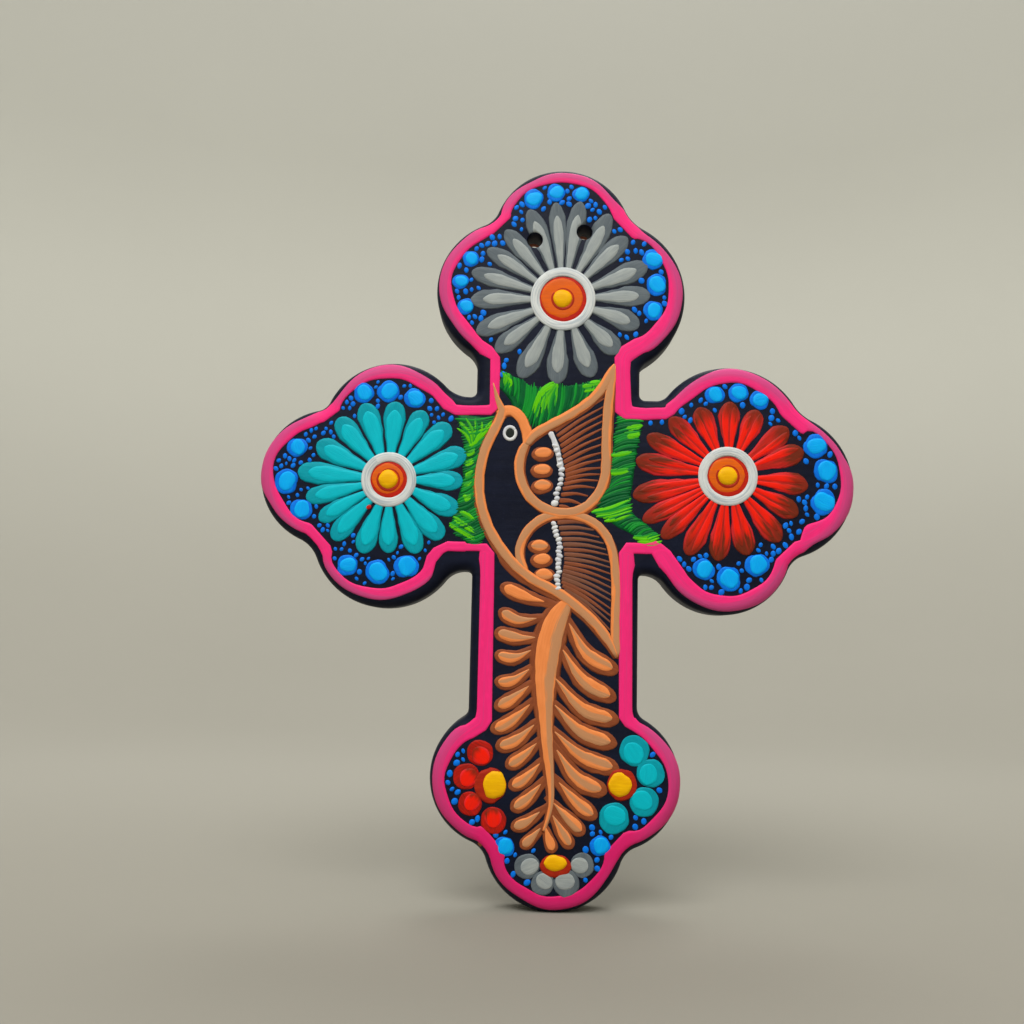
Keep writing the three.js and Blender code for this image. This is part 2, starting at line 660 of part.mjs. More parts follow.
function feathers(halfWidth, reach, pass) {
  const profile = featherProfile.map(([share, width]) => [share, width * halfWidth]);
  return featherFans.flatMap((fan) => Array.from({ length: fan.count }, (_, k) => {
    return paint(stroke(featherLine(fan, k / (fan.count - 1), reach), profile), pass);
  }));
}

function makeTail() {
  const brown = [paint(stroke(plumeLine, taperProfile(plumeBrown)), 1), ...feathers(featherHalfWidth, 1, 1)];
  const blossomRooms = blossoms.map((blossom) => blossomPetals(blossom, paintGap));
  const brownRooms = [...linePaint(birdBrownHalfWidth, 1, paintGap), ...blossomRooms];
  addPaint('tail_brown_feathers', without(joined(brown), brownRooms).intersect(field()), finishes.brown);
  const orange = [
    paint(stroke(plumeLine, taperProfile(plumeOrange)), 2),
    ...feathers(featherOrangeHalfWidth, featherOrangeReach, 2),
  ];
  const orangeRooms = linePaint(birdOrangeHalfWidth, 2, paintGap);
  addPaint('tail_orange_feathers', without(joined(orange), orangeRooms), finishes.orange);
}

// Leaves
const leafProfile = taperProfile([leafEndShare, 1, leafEndShare].map((share) => share * leafHalfWidth));

function makeLeaves({ name, count, path, halfLengths }) {
  const marks = Array.from({ length: count }, (_, k) => {
    const share = k / (count - 1);
    const [x, z] = alongPath(path, share);
    const [dx, dz] = turned([0, blendedEntry(halfLengths, share)], headingAt(path, share));
    return paint(stroke([[x - dx, z - dz], [x + dx, z + dz]], leafProfile), 1);
  });
  const leaves = without(joined(marks), [birdSilhouette(paintGap), ...petalRooms()]);
  addPaint(name, leaves.intersect(field()), finishes.green);
}

makeSlab();
makeBorder();
daisies.forEach(makeDaisy);
leafPatches.forEach(makeLeaves);
makeBird();
makeTail();
blossoms.forEach(makeBlossom);
dotRuns.forEach(makeDotRun);
for (const { name, x, z, radius } of bottomDots) {
  addPaint(name, paint(circle([x, z], radius, 14), 1).intersect(field()), finishes.blue);
}

export default group;
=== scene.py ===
import math
import random
from contextlib import contextmanager

import bmesh
import bpy
import numpy as np
from mathutils import Matrix, Vector


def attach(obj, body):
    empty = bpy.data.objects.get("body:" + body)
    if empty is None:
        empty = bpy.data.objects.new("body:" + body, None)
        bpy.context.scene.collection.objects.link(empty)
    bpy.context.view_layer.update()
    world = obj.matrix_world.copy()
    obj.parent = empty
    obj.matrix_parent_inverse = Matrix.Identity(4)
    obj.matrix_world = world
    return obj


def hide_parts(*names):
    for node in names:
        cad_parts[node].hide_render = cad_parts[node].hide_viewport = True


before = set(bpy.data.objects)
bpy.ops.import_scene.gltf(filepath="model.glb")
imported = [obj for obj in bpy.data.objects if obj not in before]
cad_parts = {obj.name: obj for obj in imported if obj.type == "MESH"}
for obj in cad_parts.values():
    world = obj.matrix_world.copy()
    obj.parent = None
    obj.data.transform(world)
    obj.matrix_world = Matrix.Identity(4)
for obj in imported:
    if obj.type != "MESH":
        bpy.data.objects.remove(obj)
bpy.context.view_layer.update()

# The cross is modelled lying on the bench, painted face up, in millimetres from the crossing's centre:
# x to the right, y towards the top end, heights from the painted face. It is then stood up.
MM = 0.001
SLAB_THICKNESS = 10.5
CROSSING_BELOW = 69.5
FRONT_ROUND = 2.8
BACK_CHAMFER = 0.8
UPRIGHT_WIDTH = 44.8
ARM_WIDTH = 47.8
CROTCH_FILLET = 1.6
HOLE_RADIUS = 2.1
PAINT_HOLE_GAP = 0.15
HOLES = [(-7.3, 68.2), (6.5, 70.8)]
BORDER_ROWS = 9
# The studio, in metres and degrees
FLOOR_HEIGHT = -0.1816
STAGE_RADIUS = 1.3
STAGE_WALL = 1.3
PHOTO_LENS_ANGLE = 52.0
# Where a chip low on the left lays the clay bare, as the cross stands
CHIP = (-18.4 * MM, -9.6 * MM, -164.6 * MM)

# Each end: lobes as (out along the end, across it, radius), and neck and valley fillets beside each
# shoulder. The border's margins are its outer and inner edge from the slab's edge, in mm, at places in
# order round the end: neck, three on the lobe, valley, five on the tip, valley, three, neck, crotch.
# A minus sign is paint carried on down the side; four numbers are the margins before and after a corner.
ENDS = [
    dict(turn=0, bar=ARM_WIDTH, tip=(60.5, 1.2, 20.3),
         right=(45.0, 15.4, 19.0, 6.3, 7.1), left=(46.9, 12.4, 21.2, 4.1, 11.6),
         border=[(5.2, 8.9, 1.5, 6.2), (1.5, 5.8), (0.8, 5), (0.4, 4.3), (0.9, 4.5),
                 (2, 7.4), (0.6, 4.8), (-1, 4.3), (1.6, 3.3), (1.3, 3.1), (1, 5.3),
                 (1.1, 5), (0.4, 4.7), (1.9, 5.4), (1.6, 4.8, 2.4, 5.7), (2.7, 5.9, 2.7, 7)]),
    dict(turn=90, bar=UPRIGHT_WIDTH, tip=(70.1, -0.5, 19.3),
         right=(53.4, 12.8, 22.0, 4.2, 11.9), left=(54.1, 13.8, 20.4, 6.8, 7.5),
         border=[(2.7, 7.1, 2.3, 6.9), (1.7, 6.4), (0.6, 4.7), (1.7, 3.7), (0.8, 4.5),
                 (2, 4.2), (1.1, 4.2), (1.3, 4.5), (1.8, 3.7), (0.6, 3.5), (1.2, 4.1),
                 (0.9, 4.3), (0.5, 4), (1.7, 5.3), (1.3, 4.3, 3.5, 6.3), (3.6, 6.3, 2.8, 5.4)]),
    dict(turn=180, bar=ARM_WIDTH, tip=(61.8, -0.8, 18.7),
         right=(45.0, 13.4, 19.4, 9.0, 4.3), left=(45.7, 14.3, 20.1, 6.6, 9.5),
         border=[(2.8, 5.5, 1.9, 4.9), (1.8, 5.5), (0.4, 4.4), (1.4, 3.7), (0.8, 3.9),
                 (1.4, 4.5), (0.6, 4), (-1, 3.3), (1.3, 4.7), (1.6, 4.7), (2.1, 4.9),
                 (1.2, 3.4), (2, 5.1), (2.8, 6.1), (4.6, 7.7, 5, 7.8), (5.2, 7.3, 2.3, 6.0)]),
    dict(turn=270, bar=UPRIGHT_WIDTH, tip=(93.7, 0.8, 18.6),
         right=(78.2, 14.2, 18.0, 3.2, 7.0), left=(78.6, 15.5, 18.3, 3.8, 6.5),
         border=[(2.3, 6.2, 2, 5.7), (1, 5.4), (0.7, 3.9), (0.9, 4.1), (1.3, 5.2),
                 (1.1, 3.9), (1.5, 4.7), (1, 4.5), (1.1, 4.5), (1.9, 4.8), (1.4, 5.1),
                 (1.2, 4.1), (-1, 3.2), (1, 4.3), (1.3, 4.1, 1.6, 5.1), (1.6, 5.4, 5.2, 8.2)]),
]

# Daisies: petals as (angle, reach), from their own centre
DAISIES = {
    "top": dict(at=(0.8, 51.5), ring=8.9, fullness=0.34, petals=[
        (4, 24.1), (24, 25.4), (46, 25.2), (63, 27.7), (81, 28.5), (95, 27.8), (111, 27.3), (130, 25.3),
        (147, 25.3), (164, 26.4), (182, 25.5), (203, 25.7), (220, 23.8), (243, 25.2), (267, 24.0),
        (291, 23.4), (316, 21.6), (341, 22.3)]),
    "left": dict(at=(-45.5, 0.1), ring=7.4, fullness=0.37, petals=[
        (0, 20), (21, 22.2), (44, 22.3), (65, 21.1), (87, 21.5), (110, 22.1), (131, 21.9), (154, 22),
        (176, 24.7), (194, 22.8), (212, 21.6), (229, 22), (252, 21.1), (272, 19.9), (293, 21.5),
        (314, 21.6), (337, 20.6)]),
    "right": dict(at=(46.2, 3.0), ring=8.0, fullness=0.36, petals=[
        (20, 21.9), (40, 21.3), (66, 20.1), (88, 20.6), (113, 20.4), (135, 22.3), (154, 24.4), (171, 25.2),
        (193, 26.3), (209, 26.2), (224, 24.7), (243, 24.2), (263, 23.2), (284, 21.9), (309, 22.3),
        (332, 21.4), (354, 21.8)]),
}
BIG_DOTS = {
    "dots_top_tip": [(-7.9, 80.1, 2.8), (-1.7, 82.1, 2.5), (5.3, 81.8, 2.3)],
    "dots_top_left": [(-24.9, 62.4, 2.2), (-27.6, 55.9, 2.2), (-26, 48.8, 2.3)],
    "dots_top_right": [(25.6, 63.3, 2.8), (26.6, 56.1, 3.0), (25.7, 48.7, 2.65)],
    "dots_left_upper": [(-53.2, 23.9, 2.7), (-46.4, 24.4, 2.9), (-39.2, 22.6, 2.8)],
    "dots_left_tip": [(-70.6, 8.4, 2.7), (-73.2, -1, 3.25), (-68.8, -8.5, 2.9)],
    "dots_left_lower": [(-55.8, -23.3, 2.7), (-47.7, -25, 3.2), (-40, -23.3, 3.2)],
    "dots_right_upper": [(42.7, 25.4, 2.6), (49.1, 26.1, 2.6), (54.9, 24.2, 2.6)],
    "dots_right_tip": [(70.1, 11.8, 3.2), (72.8, 5, 3.35), (72, -3.5, 3.5)],
    "dots_right_lower": [(39.7, -22.4, 2.9), (46.4, -24.8, 3.25), (54, -20.9, 3.2)],
    "dot_bottom_left": [(-12.1, -95.6, 2.6)],
    "dot_bottom_right": [(12.8, -94.9, 2.6)],
}
# Small dots with marked places; the others find room along the border
SINGLE_DOTS = [(25.2, 17.2), (28.3, 17.5), (-14.4, -92.6), (-11.9, -91.9)]
# Blossoms: round petals, the heart and its eye as (x, y, radius) or (x, y, half width, half height)
BLOSSOMS = {
    "red": dict(petals=[(-19, -71.8, 3.5), (-22.5, -77.9, 3.5), (-21.3, -84.9, 3.2), (-15.1, -89, 3.5)],
                heart=(-16.1, -80.1, 4.2, 4.6), eye=(-15, -79.9, 3.0, 3.8)),
    "teal": dict(petals=[(21.5, -70.4, 4.1), (25.8, -76.1, 3.8), (24.2, -83.5, 3.9), (16.3, -87.8, 4.1)],
                 heart=(18.3, -79.2, 3.9, 4.2), eye=(17.8, -79.2, 3.1, 3.2)),
    "grey": dict(petals=[(-6.1, -100.4, 3.35), (8.2, -99.8, 3.2), (-2, -104.6, 3.1), (4.2, -104.5, 3.5)],
                 heart=(1.3, -100.2, 4.1, 3.0), eye=(1.2, -99.4, 3.0, 2.1)),
}

# Hummingbird, marked along the middle of each painted line
BEAK_THROAT_BELLY = [
    (-17.9, 27.4), (-16.5, 22.6), (-15.2, 19.7), (-16.0, 17.2), (-17.8, 13.2), (-19.6, 9), (-20.7, 4),
    (-21, -1), (-20.4, -5.7), (-18.9, -10.6), (-16.8, -14.7), (-13.9, -18.9), (-10.2, -22.9),
    (-6.2, -25.9), (-2.2, -27.9), (1.8, -30), (5.6, -32.8), (9.2, -35.8), (12.4, -39.2), (14.8, -42.6),
    (16.6, -46.2)]
HEAD = [(-15.8, 18.4), (-14.7, 19.6), (-12.7, 19.8), (-10.5, 18.3), (-9, 15.5), (-8.3, 12.8), (-9, 10)]
WING_TOP_EDGE = [
    (-8.6, 10.6), (-7.2, 12.6), (-5.4, 14.1), (-1.5, 16.4), (3.5, 19.2), (7.8, 22.3), (10.4, 24.8),
    (12.4, 27.6), (13.9, 30.4), (15.2, 33.4)]
UPPER_WING = [
    (-8.2, 11.4), (-9.7, 8.5), (-10.4, 4.6), (-9.7, 0.4), (-7.7, -3.4), (-4.6, -6.1), (-0.8, -7.7),
    (3, -7.9), (6.5, -7), (9.5, -4.8), (11.8, -1.5), (12.9, 2), (13.2, 6.2), (13.2, 11.8), (13.4, 17.5),
    (13.7, 22.4), (14.3, 27), (15.3, 33)]
LOWER_WING = [
    (-7.6, -24.9), (-9.1, -22), (-9.8, -18.9), (-9.2, -15.8), (-7.5, -12.7), (-4.8, -10.2), (-1.8, -8.8),
    (2.3, -8.3), (5.8, -8.7), (9.3, -10), (12.2, -12.2), (14.4, -15.6), (15.6, -20.3), (16.1, -25.6),
    (16.2, -31), (16.1, -36.2), (16.2, -41.5), (16.6, -46.2)]
UPPER_RIBS = [
    ((-0.4, 14.4), (12.6, 23.8)), ((1.0, 11.2), (12.6, 19)), ((1.7, 7.7), (12.5, 14.2)),
    ((2.4, 4.5), (12.4, 9)), ((2.7, 1.9), (12.1, 4)), ((2.1, -0.9), (10.8, 0)),
    ((1.1, -4.6), (6.6, -5.6))]
LOWER_RIBS = [
    ((0.7, -10.6), (8.6, -10.8)), ((1.8, -14.6), (12.6, -15.3)), ((2.6, -18.3), (14.4, -19.7)),
    ((2.7, -21.4), (14.9, -24.2)), ((2.2, -24.2), (15.1, -29)), ((2.0, -26.8), (15, -34)),
    ((3.4, -29.2), (14.8, -39))]
UPPER_BEADS = [
    (-0.5, 10.4), (0.4, 7.3), (1.1, 3.8), (1.3, 1.7), (0.8, 0), (0.4, -1.8), (-0.1, -3.5), (-0.4, -5.4)]
BEAD_STROKE = [(-2.1, 14.2), (-0.8, 11.3), (0.3, 7.6), (1.0, 4.2)]
LOWER_BEADS = [(-0.6, -10.9), (0.5, -15), (0.8, -18.5), (1.0, -21.2), (0.7, -23.8), (0.4, -28.3)]
OVALS = {
    "upper_wing_oval_1": (-3.9, 8.3), "upper_wing_oval_2": (-4.1, 3.7), "upper_wing_oval_3": (-3.9, -0.6),
    "lower_wing_oval_1": (-4.4, -17), "lower_wing_oval_2": (-3.7, -20.6), "lower_wing_oval_3": (-3, -24.7)}
EYE = (-13.0, 13.6)

# Tail: feathers as root, middle and tip, first those to the left
MIDDLE_FEATHER = 13
PLUME = [
    (3.6, -31.4), (2.3, -33.4), (0.8, -36.0), (-0.5, -39.4), (-1.6, -44.5), (-2.1, -50), (-2.2, -57),
    (-1.7, -65.4), (-1.2, -71.4), (-0.6, -76.7), (-0.2, -81.2), (-0.2, -84.6), (-0.9, -88), (-2.0, -91.4)]
PLUME_HALF = [1.3, 2.8, 3.3, 3.4, 3.1, 2.7, 2.2, 1.8, 1.6, 1.35, 1.05, 0.8, 0.6, 0.4]
FEATHERS = [
    [(-1.7, -32.3), (-7.9, -30.7), (-14.7, -27.8)], [(-3.8, -36.3), (-9.8, -37), (-15, -34.4)],
    [(-4, -41.5), (-10.2, -41.6), (-16, -40.1)], [(-5.3, -44.5), (-10.7, -47), (-15.8, -46)],
    [(-5.7, -49.3), (-11.1, -53.1), (-15.7, -53.2)], [(-5.7, -53.6), (-11, -57.9), (-15.5, -60.2)],
    [(-5.3, -58.3), (-11.4, -63.8), (-16.4, -66)], [(-4.1, -63.6), (-9.7, -68.5), (-15, -70.4)],
    [(-3.5, -68.4), (-8, -72.7), (-12.2, -75.4)], [(-2.6, -73.6), (-7.3, -78.4), (-11.3, -80.6)],
    [(-2.2, -78.8), (-6.7, -83.6), (-10.6, -86.3)], [(-2.4, -86.1), (-6.6, -89.3), (-10.5, -90.9)],
    [(-2.3, -90.2), (-5.2, -93.4), (-7.8, -95.8)], [(-1.8, -89.7), (-0.6, -93.3), (0.7, -96.9)],
    [(3.8, -37.8), (8.8, -45.8), (17, -50.1)], [(2.3, -44.8), (7.8, -52.7), (16.5, -57.3)],
    [(0.5, -52.4), (7.9, -60.2), (17.4, -62.9)], [(0.4, -59.3), (7.5, -66), (16.9, -69)],
    [(0.5, -66.2), (7.6, -72.3), (17.5, -75.5)], [(1.1, -70.9), (6.6, -78.1), (14.4, -81.3)],
    [(1.8, -79.2), (6.7, -84.3), (11.8, -87.9)], [(0.5, -84.5), (4.6, -88.5), (8.6, -92.1)],
    [(0.3, -87.6), (3.1, -92.2), (5.5, -95.7)]]

# Leaves: the two sides of each patch between which its strokes run, how far they slant along it, and
# the brighter strokes laid last
LEAVES = {
    "leaves_left": dict(slant=-0.016, sides=(
        [(-28, 17.8), (-26.9, 14.4), (-25.8, 10.9), (-25.6, 3.9), (-26, -3.1), (-27.4, -7.3),
            (-28.6, -12.8), (-23.5, -16.6)],
        [(-16.6, 18.2), (-18.6, 14.5), (-20.2, 11.1), (-21, 4), (-21.8, -3), (-20.9, -7.1),
            (-19.2, -13.3), (-19.4, -16.6)]),
        bright=[
            [(-23.6, 10.2), (-24.6, 12.8), (-27.2, 14.6)], [(-23.4, 10.6), (-24.4, 14), (-26.9, 16.2)],
            [(-23.2, 11), (-23.6, 14), (-24.8, 17)], [(-22.8, 11.2), (-22.2, 14.2), (-22.6, 17)],
            [(-22.6, 11.4), (-20.9, 14.2), (-20.6, 16.8)], [(-22.6, 11), (-20.4, 13.6), (-18, 16.6)],
            [(-24, 9.4), (-22.6, 10.4), (-21.2, 12)], [(-28.6, -11.6), (-25.8, -13.2), (-21.6, -15.6)],
            [(-27.6, -10), (-25, -11.6), (-21.8, -13.6)], [(-25.8, -8.4), (-24, -9.4), (-22, -10.6)],
            [(-24.6, 7.4), (-23.4, 8), (-22.4, 9)], [(-24.6, 4.4), (-23.6, 4.9), (-22.6, 5.8)],
            [(-24.8, 1.4), (-23.8, 1.8), (-22.8, 2.8)], [(-25, -1.6), (-24, -1.2), (-23, -0.4)],
            [(-25.2, -4.6), (-24.2, -4.4), (-23.2, -3.8)]]),
    "leaves_top": dict(slant=-0.012, sides=(
        [(-16, 31.2), (-11.5, 29), (-6.6, 27.5), (-1, 27.4), (5.3, 27.8), (11.4, 29.2)],
        [(-15.8, 25.6), (-11.6, 22.6), (-7.8, 15.6), (-2.4, 16.2), (4.2, 21.4), (11.2, 25.8)]),
        bright=[
            [(-0.8, 27.4), (-3.4, 23.4), (-4.6, 18.4)], [(-0.6, 27), (-2, 23.4), (-2.6, 19.6)],
            [(-1.4, 27.6), (-5, 24.6), (-6.8, 19.6)], [(-0.4, 27.2), (-0.6, 24.2), (-0.8, 21.2)],
            [(-1, 26.8), (-4.2, 23.4), (-6, 17.4)], [(6.6, 27.2), (8.4, 27.4), (11.4, 28.2)],
            [(7, 26), (8.8, 26.4), (11.2, 27.2)], [(8.4, 28.2), (9.8, 28.4), (11.4, 28.8)],
            [(-15.2, 30.2), (-14.6, 28.8), (-14.9, 27)], [(-13.8, 29.6), (-13.2, 28), (-13.5, 26.4)]]),
    "leaves_right": dict(slant=-0.004, sides=(
        [(15.6, 18.6), (15, 11.9), (14.1, 4.8), (13.8, -0.8), (10, -5.8), (12.5, -8.6), (16.1, -10.8),
            (21, -13.5), (25, -15.6)],
        [(23.4, 18.8), (22.2, 12), (20.9, 4.9), (20.2, -0.7), (20.2, -6), (21.6, -8.6), (23.8, -10.2),
            (26.6, -12.4), (28, -14.4)]),
        bright=[
            [(18.4, 14.8), (20.4, 15), (22.6, 15.6)], [(18.8, 16), (20.4, 16.4), (22.8, 16.9)],
            [(18.8, 13.4), (20.4, 13.5), (22.2, 14)], [(9.6, -7.4), (14.6, -6.4), (20, -3.8)],
            [(10.6, -8.4), (15.4, -7.6), (20.4, -5.6)], [(13, -9.4), (16.6, -8.8), (20.2, -7.4)],
            [(14.6, 8.2), (17, 8.4), (20, 9.2)], [(14.4, 3.4), (16.8, 3.6), (19.2, 4.2)],
            [(20.8, -14), (23.6, -14), (26.8, -12.8)], [(22.2, -15), (24.8, -15), (27.8, -13.8)],
            [(23.8, -15.9), (26, -15.8), (28.2, -15)]]),
}

brush_hand = random.Random(7)
vary = brush_hand.uniform


# Plan geometry
def turned(point, angle):
    c, s = math.cos(angle), math.sin(angle)
    return (point[0] * c - point[1] * s, point[0] * s + point[1] * c)


def bearing(start, end):
    return math.atan2(end[1] - start[1], end[0] - start[0])


def towards(angle):
    return np.array((math.cos(angle), math.sin(angle)))


def side_fillets(half_bar, shoulder, tip):
    """Centres of the neck and valley fillets beside one shoulder, its side of the end counted positive"""
    out, across, radius, neck_fillet, valley_fillet = shoulder
    neck_across = half_bar + neck_fillet
    neck_back = math.sqrt((radius + neck_fillet) ** 2 - (across - neck_across) ** 2)
    to_shoulder, to_tip = radius + valley_fillet, tip[2] + valley_fillet
    spread = math.hypot(tip[0] - out, tip[1] - across)
    along = (to_shoulder ** 2 - to_tip ** 2 + spread ** 2) / (2 * spread)
    away = math.sqrt(to_shoulder ** 2 - along ** 2)
    ux, uy = (tip[0] - out) / spread, (tip[1] - across) / spread
    return (out - neck_back, neck_across), (out + ux * along - uy * away, across + uy * along + ux * away)


def edge_arcs():
    """The slab's edge as tangent arcs, counterclockwise: centre, radius, bulge, start angle and sweep"""
    arcs = []
    for i, end in enumerate(ENDS):
        half_bar, tip, right, left = end["bar"] / 2, end["tip"], end["right"], end["left"]
        tip_mirrored = (tip[0], -tip[1], tip[2])
        right_neck, right_valley = [(x, -y) for x, y in side_fillets(half_bar, right, tip_mirrored)]
        left_neck, left_valley = side_fillets(half_bar, left, tip)
        crotch = (ENDS[(i + 1) % 4]["bar"] / 2 + CROTCH_FILLET, half_bar + CROTCH_FILLET)
        centres = [right_neck, (right[0], -right[1]), right_valley, tip[:2], left_valley, left[:2],
                   left_neck]
        pairs = list(zip(centres, centres[1:]))
        radii = [right[3], right[2], right[4], tip[2], left[4], left[2], left[3], CROTCH_FILLET]
        bulges = [-1, 1, -1, 1, -1, 1, -1, -1]
        starts = [math.pi / 2, *(bearing(b, a) for a, b in pairs), 1.5 * math.pi]
        stops = [*(bearing(a, b) for a, b in pairs), -math.pi / 2, math.pi]
        turn = math.radians(end["turn"])
        for centre, radius, bulge, start, stop in zip([*centres, crotch], radii, bulges, starts, stops):
            sweep = (stop - start) % math.tau if bulge > 0 else -((start - stop) % math.tau)
            arcs.append((np.array(turned(centre, turn)), radius, bulge, start + turn, sweep))
    return arcs


def edge_points(step=2.0):
    """The edge itself as a closed row of points, a few degrees apart on the arcs"""
    points = []
    for centre, radius, _, start, sweep in edge_arcs():
        count = max(3, math.ceil(abs(sweep) / math.radians(step)))
        points += [centre + radius * towards(start + sweep * k / count) for k in range(count + 1)]
    rows = np.array(points)
    return rows[np.hypot(*(rows - np.roll(rows, 1, axis=0)).T) > 0.02]


EDGE = edge_points()


def edge_distance(points, edge=EDGE):
    """How far each point lies from a closed edge, the slab's unless told otherwise"""
    best = np.full(len(points), 1e9)
    for (sx, sy), (dx, dy) in zip(edge, np.roll(edge, -1, axis=0) - edge):
        rx, ry = points[:, 0] - sx, points[:, 1] - sy
        share = np.clip((rx * dx + ry * dy) / max(dx * dx + dy * dy, 1e-9), 0, 1)
        best = np.minimum(best, np.hypot(rx - share * dx, ry - share * dy))
    return best


def within(points, edge):
    """Whether each point lies inside a closed edge"""
    inside = np.zeros(len(points), bool)
    for (x0, y0), (x1, y1) in zip(edge, np.roll(edge, -1, axis=0)):
        if y0 != y1:
            crosses = (y0 > points[:, 1]) != (y1 > points[:, 1])
            inside ^= crosses & (points[:, 0] < x0 + (points[:, 1] - y0) * (x1 - x0) / (y1 - y0))
    return inside


# Marks for the brush
def smooth_path(marks, shares):
    """Points at shares of the length of a smooth curve through the marks, and that length"""
    p = np.array(marks, float)
    p = np.vstack([2 * p[0] - p[1], p, 2 * p[-1] - p[-2]])
    t = np.linspace(0, 1, 14, endpoint=False)[:, None]
    rows = [0.5 * (2 * b + (c - a) * t + (2 * a - 5 * b + 4 * c - d) * t ** 2
                   + (3 * b - a - 3 * c + d) * t ** 3)
            for a, b, c, d in zip(p, p[1:], p[2:], p[3:])]
    rows = np.vstack(rows + [p[-2:-1]])
    run = np.concatenate([[0], np.cumsum(np.hypot(*np.diff(rows, axis=0).T))])
    wanted = np.asarray(shares) * run[-1]
    return np.column_stack([np.interp(wanted, run, column) for column in rows.T]), run[-1]


def resampled(marks, count, end=1.0):
    return smooth_path(marks, np.linspace(0, end, count))[0]


def along_marks(marks, share):
    return smooth_path(marks, [share])[0][0]


def shifted(marks, dx, dy):
    return [(x + dx, y + dy) for x, y in marks]


def round_marks(x, y, across, up, angles):
    return [(x + across * math.cos(a), y + up * math.sin(a)) for a in angles]


# Hand work on one piece
def select_only(piece):
    bpy.ops.object.select_all(action="DESELECT")
    piece.select_set(True)
    bpy.context.view_layer.objects.active = piece


@contextmanager
def edit_mode(piece):
    """Edit mode on one piece alone, with all of its mesh selected"""
    select_only(piece)
    bpy.ops.object.mode_set(mode="EDIT")
    bpy.ops.mesh.select_all(action="SELECT")
    yield
    bpy.ops.object.mode_set(mode="OBJECT")


def select_faces(piece, wanted):
    made = bmesh.from_edit_mesh(piece.data)
    bpy.ops.mesh.select_all(action="DESELECT")
    for face in made.faces:
        face.select = wanted(face)
    made.select_flush_mode()
    bmesh.update_edit_mesh(piece.data)


def select_edges(piece, wanted):
    made = bmesh.from_edit_mesh(piece.data)
    bpy.ops.mesh.select_all(action="DESELECT")
    for edge in made.edges:
        if wanted(edge.verts[0].co, edge.verts[1].co) and not edge.is_wire:
            edge.select = True
    bmesh.update_edit_mesh(piece.data)


def face_outwards():
    bpy.ops.mesh.select_all(action="SELECT")
    bpy.ops.mesh.normals_make_consistent(inside=False)


def punch_holes(piece, paint_gap=0.0):
    """Cuts the two hanging holes through a piece on the bench, wider by the gap that paint leaves"""
    for x, y in HOLES:
        bpy.ops.object.select_all(action="DESELECT")
        bpy.ops.mesh.primitive_cylinder_add(vertices=40, radius=(HOLE_RADIUS + paint_gap) * MM,
                                            depth=30 * MM, location=(x * MM, y * MM, 0))
        punch = bpy.context.object
        select_only(piece)
        cut = piece.modifiers.new("hole", "BOOLEAN")
        cut.operation, cut.object, cut.solver, cut.use_self = "DIFFERENCE", punch, "EXACT", paint_gap > 0
        bpy.ops.object.modifier_apply(modifier=cut.name)
        bpy.data.objects.remove(punch)


def move_vertices(piece, places):
    piece.data.vertices.foreach_set("co", (places * MM).astype(np.float32).ravel())
    piece.data.update()


def note(piece, name, values, domain="POINT"):
    """Keeps three values at each vertex or corner, for the finishes to read"""
    kept = piece.data.attributes.new(name, "FLOAT_VECTOR", domain)
    kept.data.foreach_set("vector", values.astype(np.float32).ravel())


def tubes(name, paths, sides, closed=False):
    """Beveled curves along paths of (x, y, half width), made one mesh of rings, to be pressed flat"""
    bpy.ops.object.select_all(action="DESELECT")
    bpy.ops.curve.primitive_nurbs_path_add()
    piece = bpy.context.object
    curve = piece.data
    curve.splines.clear()
    curve.dimensions, curve.twist_mode = "3D", "Z_UP"
    curve.bevel_depth, curve.bevel_resolution = 1.0, (sides - 4) // 2
    for path in paths:
        spline = curve.splines.new("POLY")
        spline.points.add(len(path) - 1)
        spline.use_cyclic_u = closed
        for point, (x, y, half) in zip(spline.points, path):
            point.co, point.radius = (x * MM, y * MM, 0, 1), half * MM
    bpy.ops.object.convert(target="MESH")
    piece.name = piece.data.name = name
    return piece


def fit_on_frame(piece, paint, nodes):
    """Gives a piece its paint, stands it up painted face forward, and puts it in its nodes' place"""
    finish, own_slot = FINISHES[paint]
    piece.data.materials.clear()
    piece.data.materials.append(finish)
    select_only(piece)
    piece.rotation_euler = (math.pi / 2, 0, 0)
    piece.location = (0, -SLAB_THICKNESS * MM, -CROSSING_BELOW * MM)
    bpy.ops.object.transform_apply(location=True, rotation=True, scale=True)
    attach(piece, "root")
    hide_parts(*nodes)


# Brush strokes, each profile a row of (share of the length, share of the half width)
EVEN = [(0, 0.3), (0.012, 0.72), (0.03, 0.94), (0.06, 1), (0.94, 1), (0.97, 0.94), (0.988, 0.72), (1, 0.3)]
PETAL = [(0, 0.34), (0.2, 0.52), (0.4, 0.76), (0.56, 0.94), (0.68, 1), (0.78, 0.95), (0.87, 0.8),
         (0.94, 0.58), (0.98, 0.36), (1, 0.14)]
ROUND_PETAL = [(0, 0.36), (0.2, 0.54), (0.4, 0.76), (0.58, 0.94), (0.72, 1), (0.82, 0.96), (0.9, 0.82),
               (0.96, 0.58), (0.985, 0.36), (1, 0.14)]
GLOSS = [(0, 0.42), (0.25, 0.62), (0.5, 0.88), (0.68, 1), (0.8, 0.94), (0.9, 0.74), (0.97, 0.42), (1, 0.14)]
FEATHER = [(0, 0.4), (0.15, 0.5), (0.35, 0.68), (0.6, 0.94), (0.74, 1), (0.86, 0.92), (0.94, 0.72),
           (0.98, 0.45), (1, 0.16)]
QUILL = [(0, 0.1), (0.12, 0.28), (0.35, 0.62), (0.6, 0.94), (0.76, 1), (0.88, 0.92), (0.95, 0.68),
         (1, 0.22)]
RIB = [(0, 0.8), (0.1, 1), (0.4, 0.86), (0.7, 0.6), (1, 0.34)]
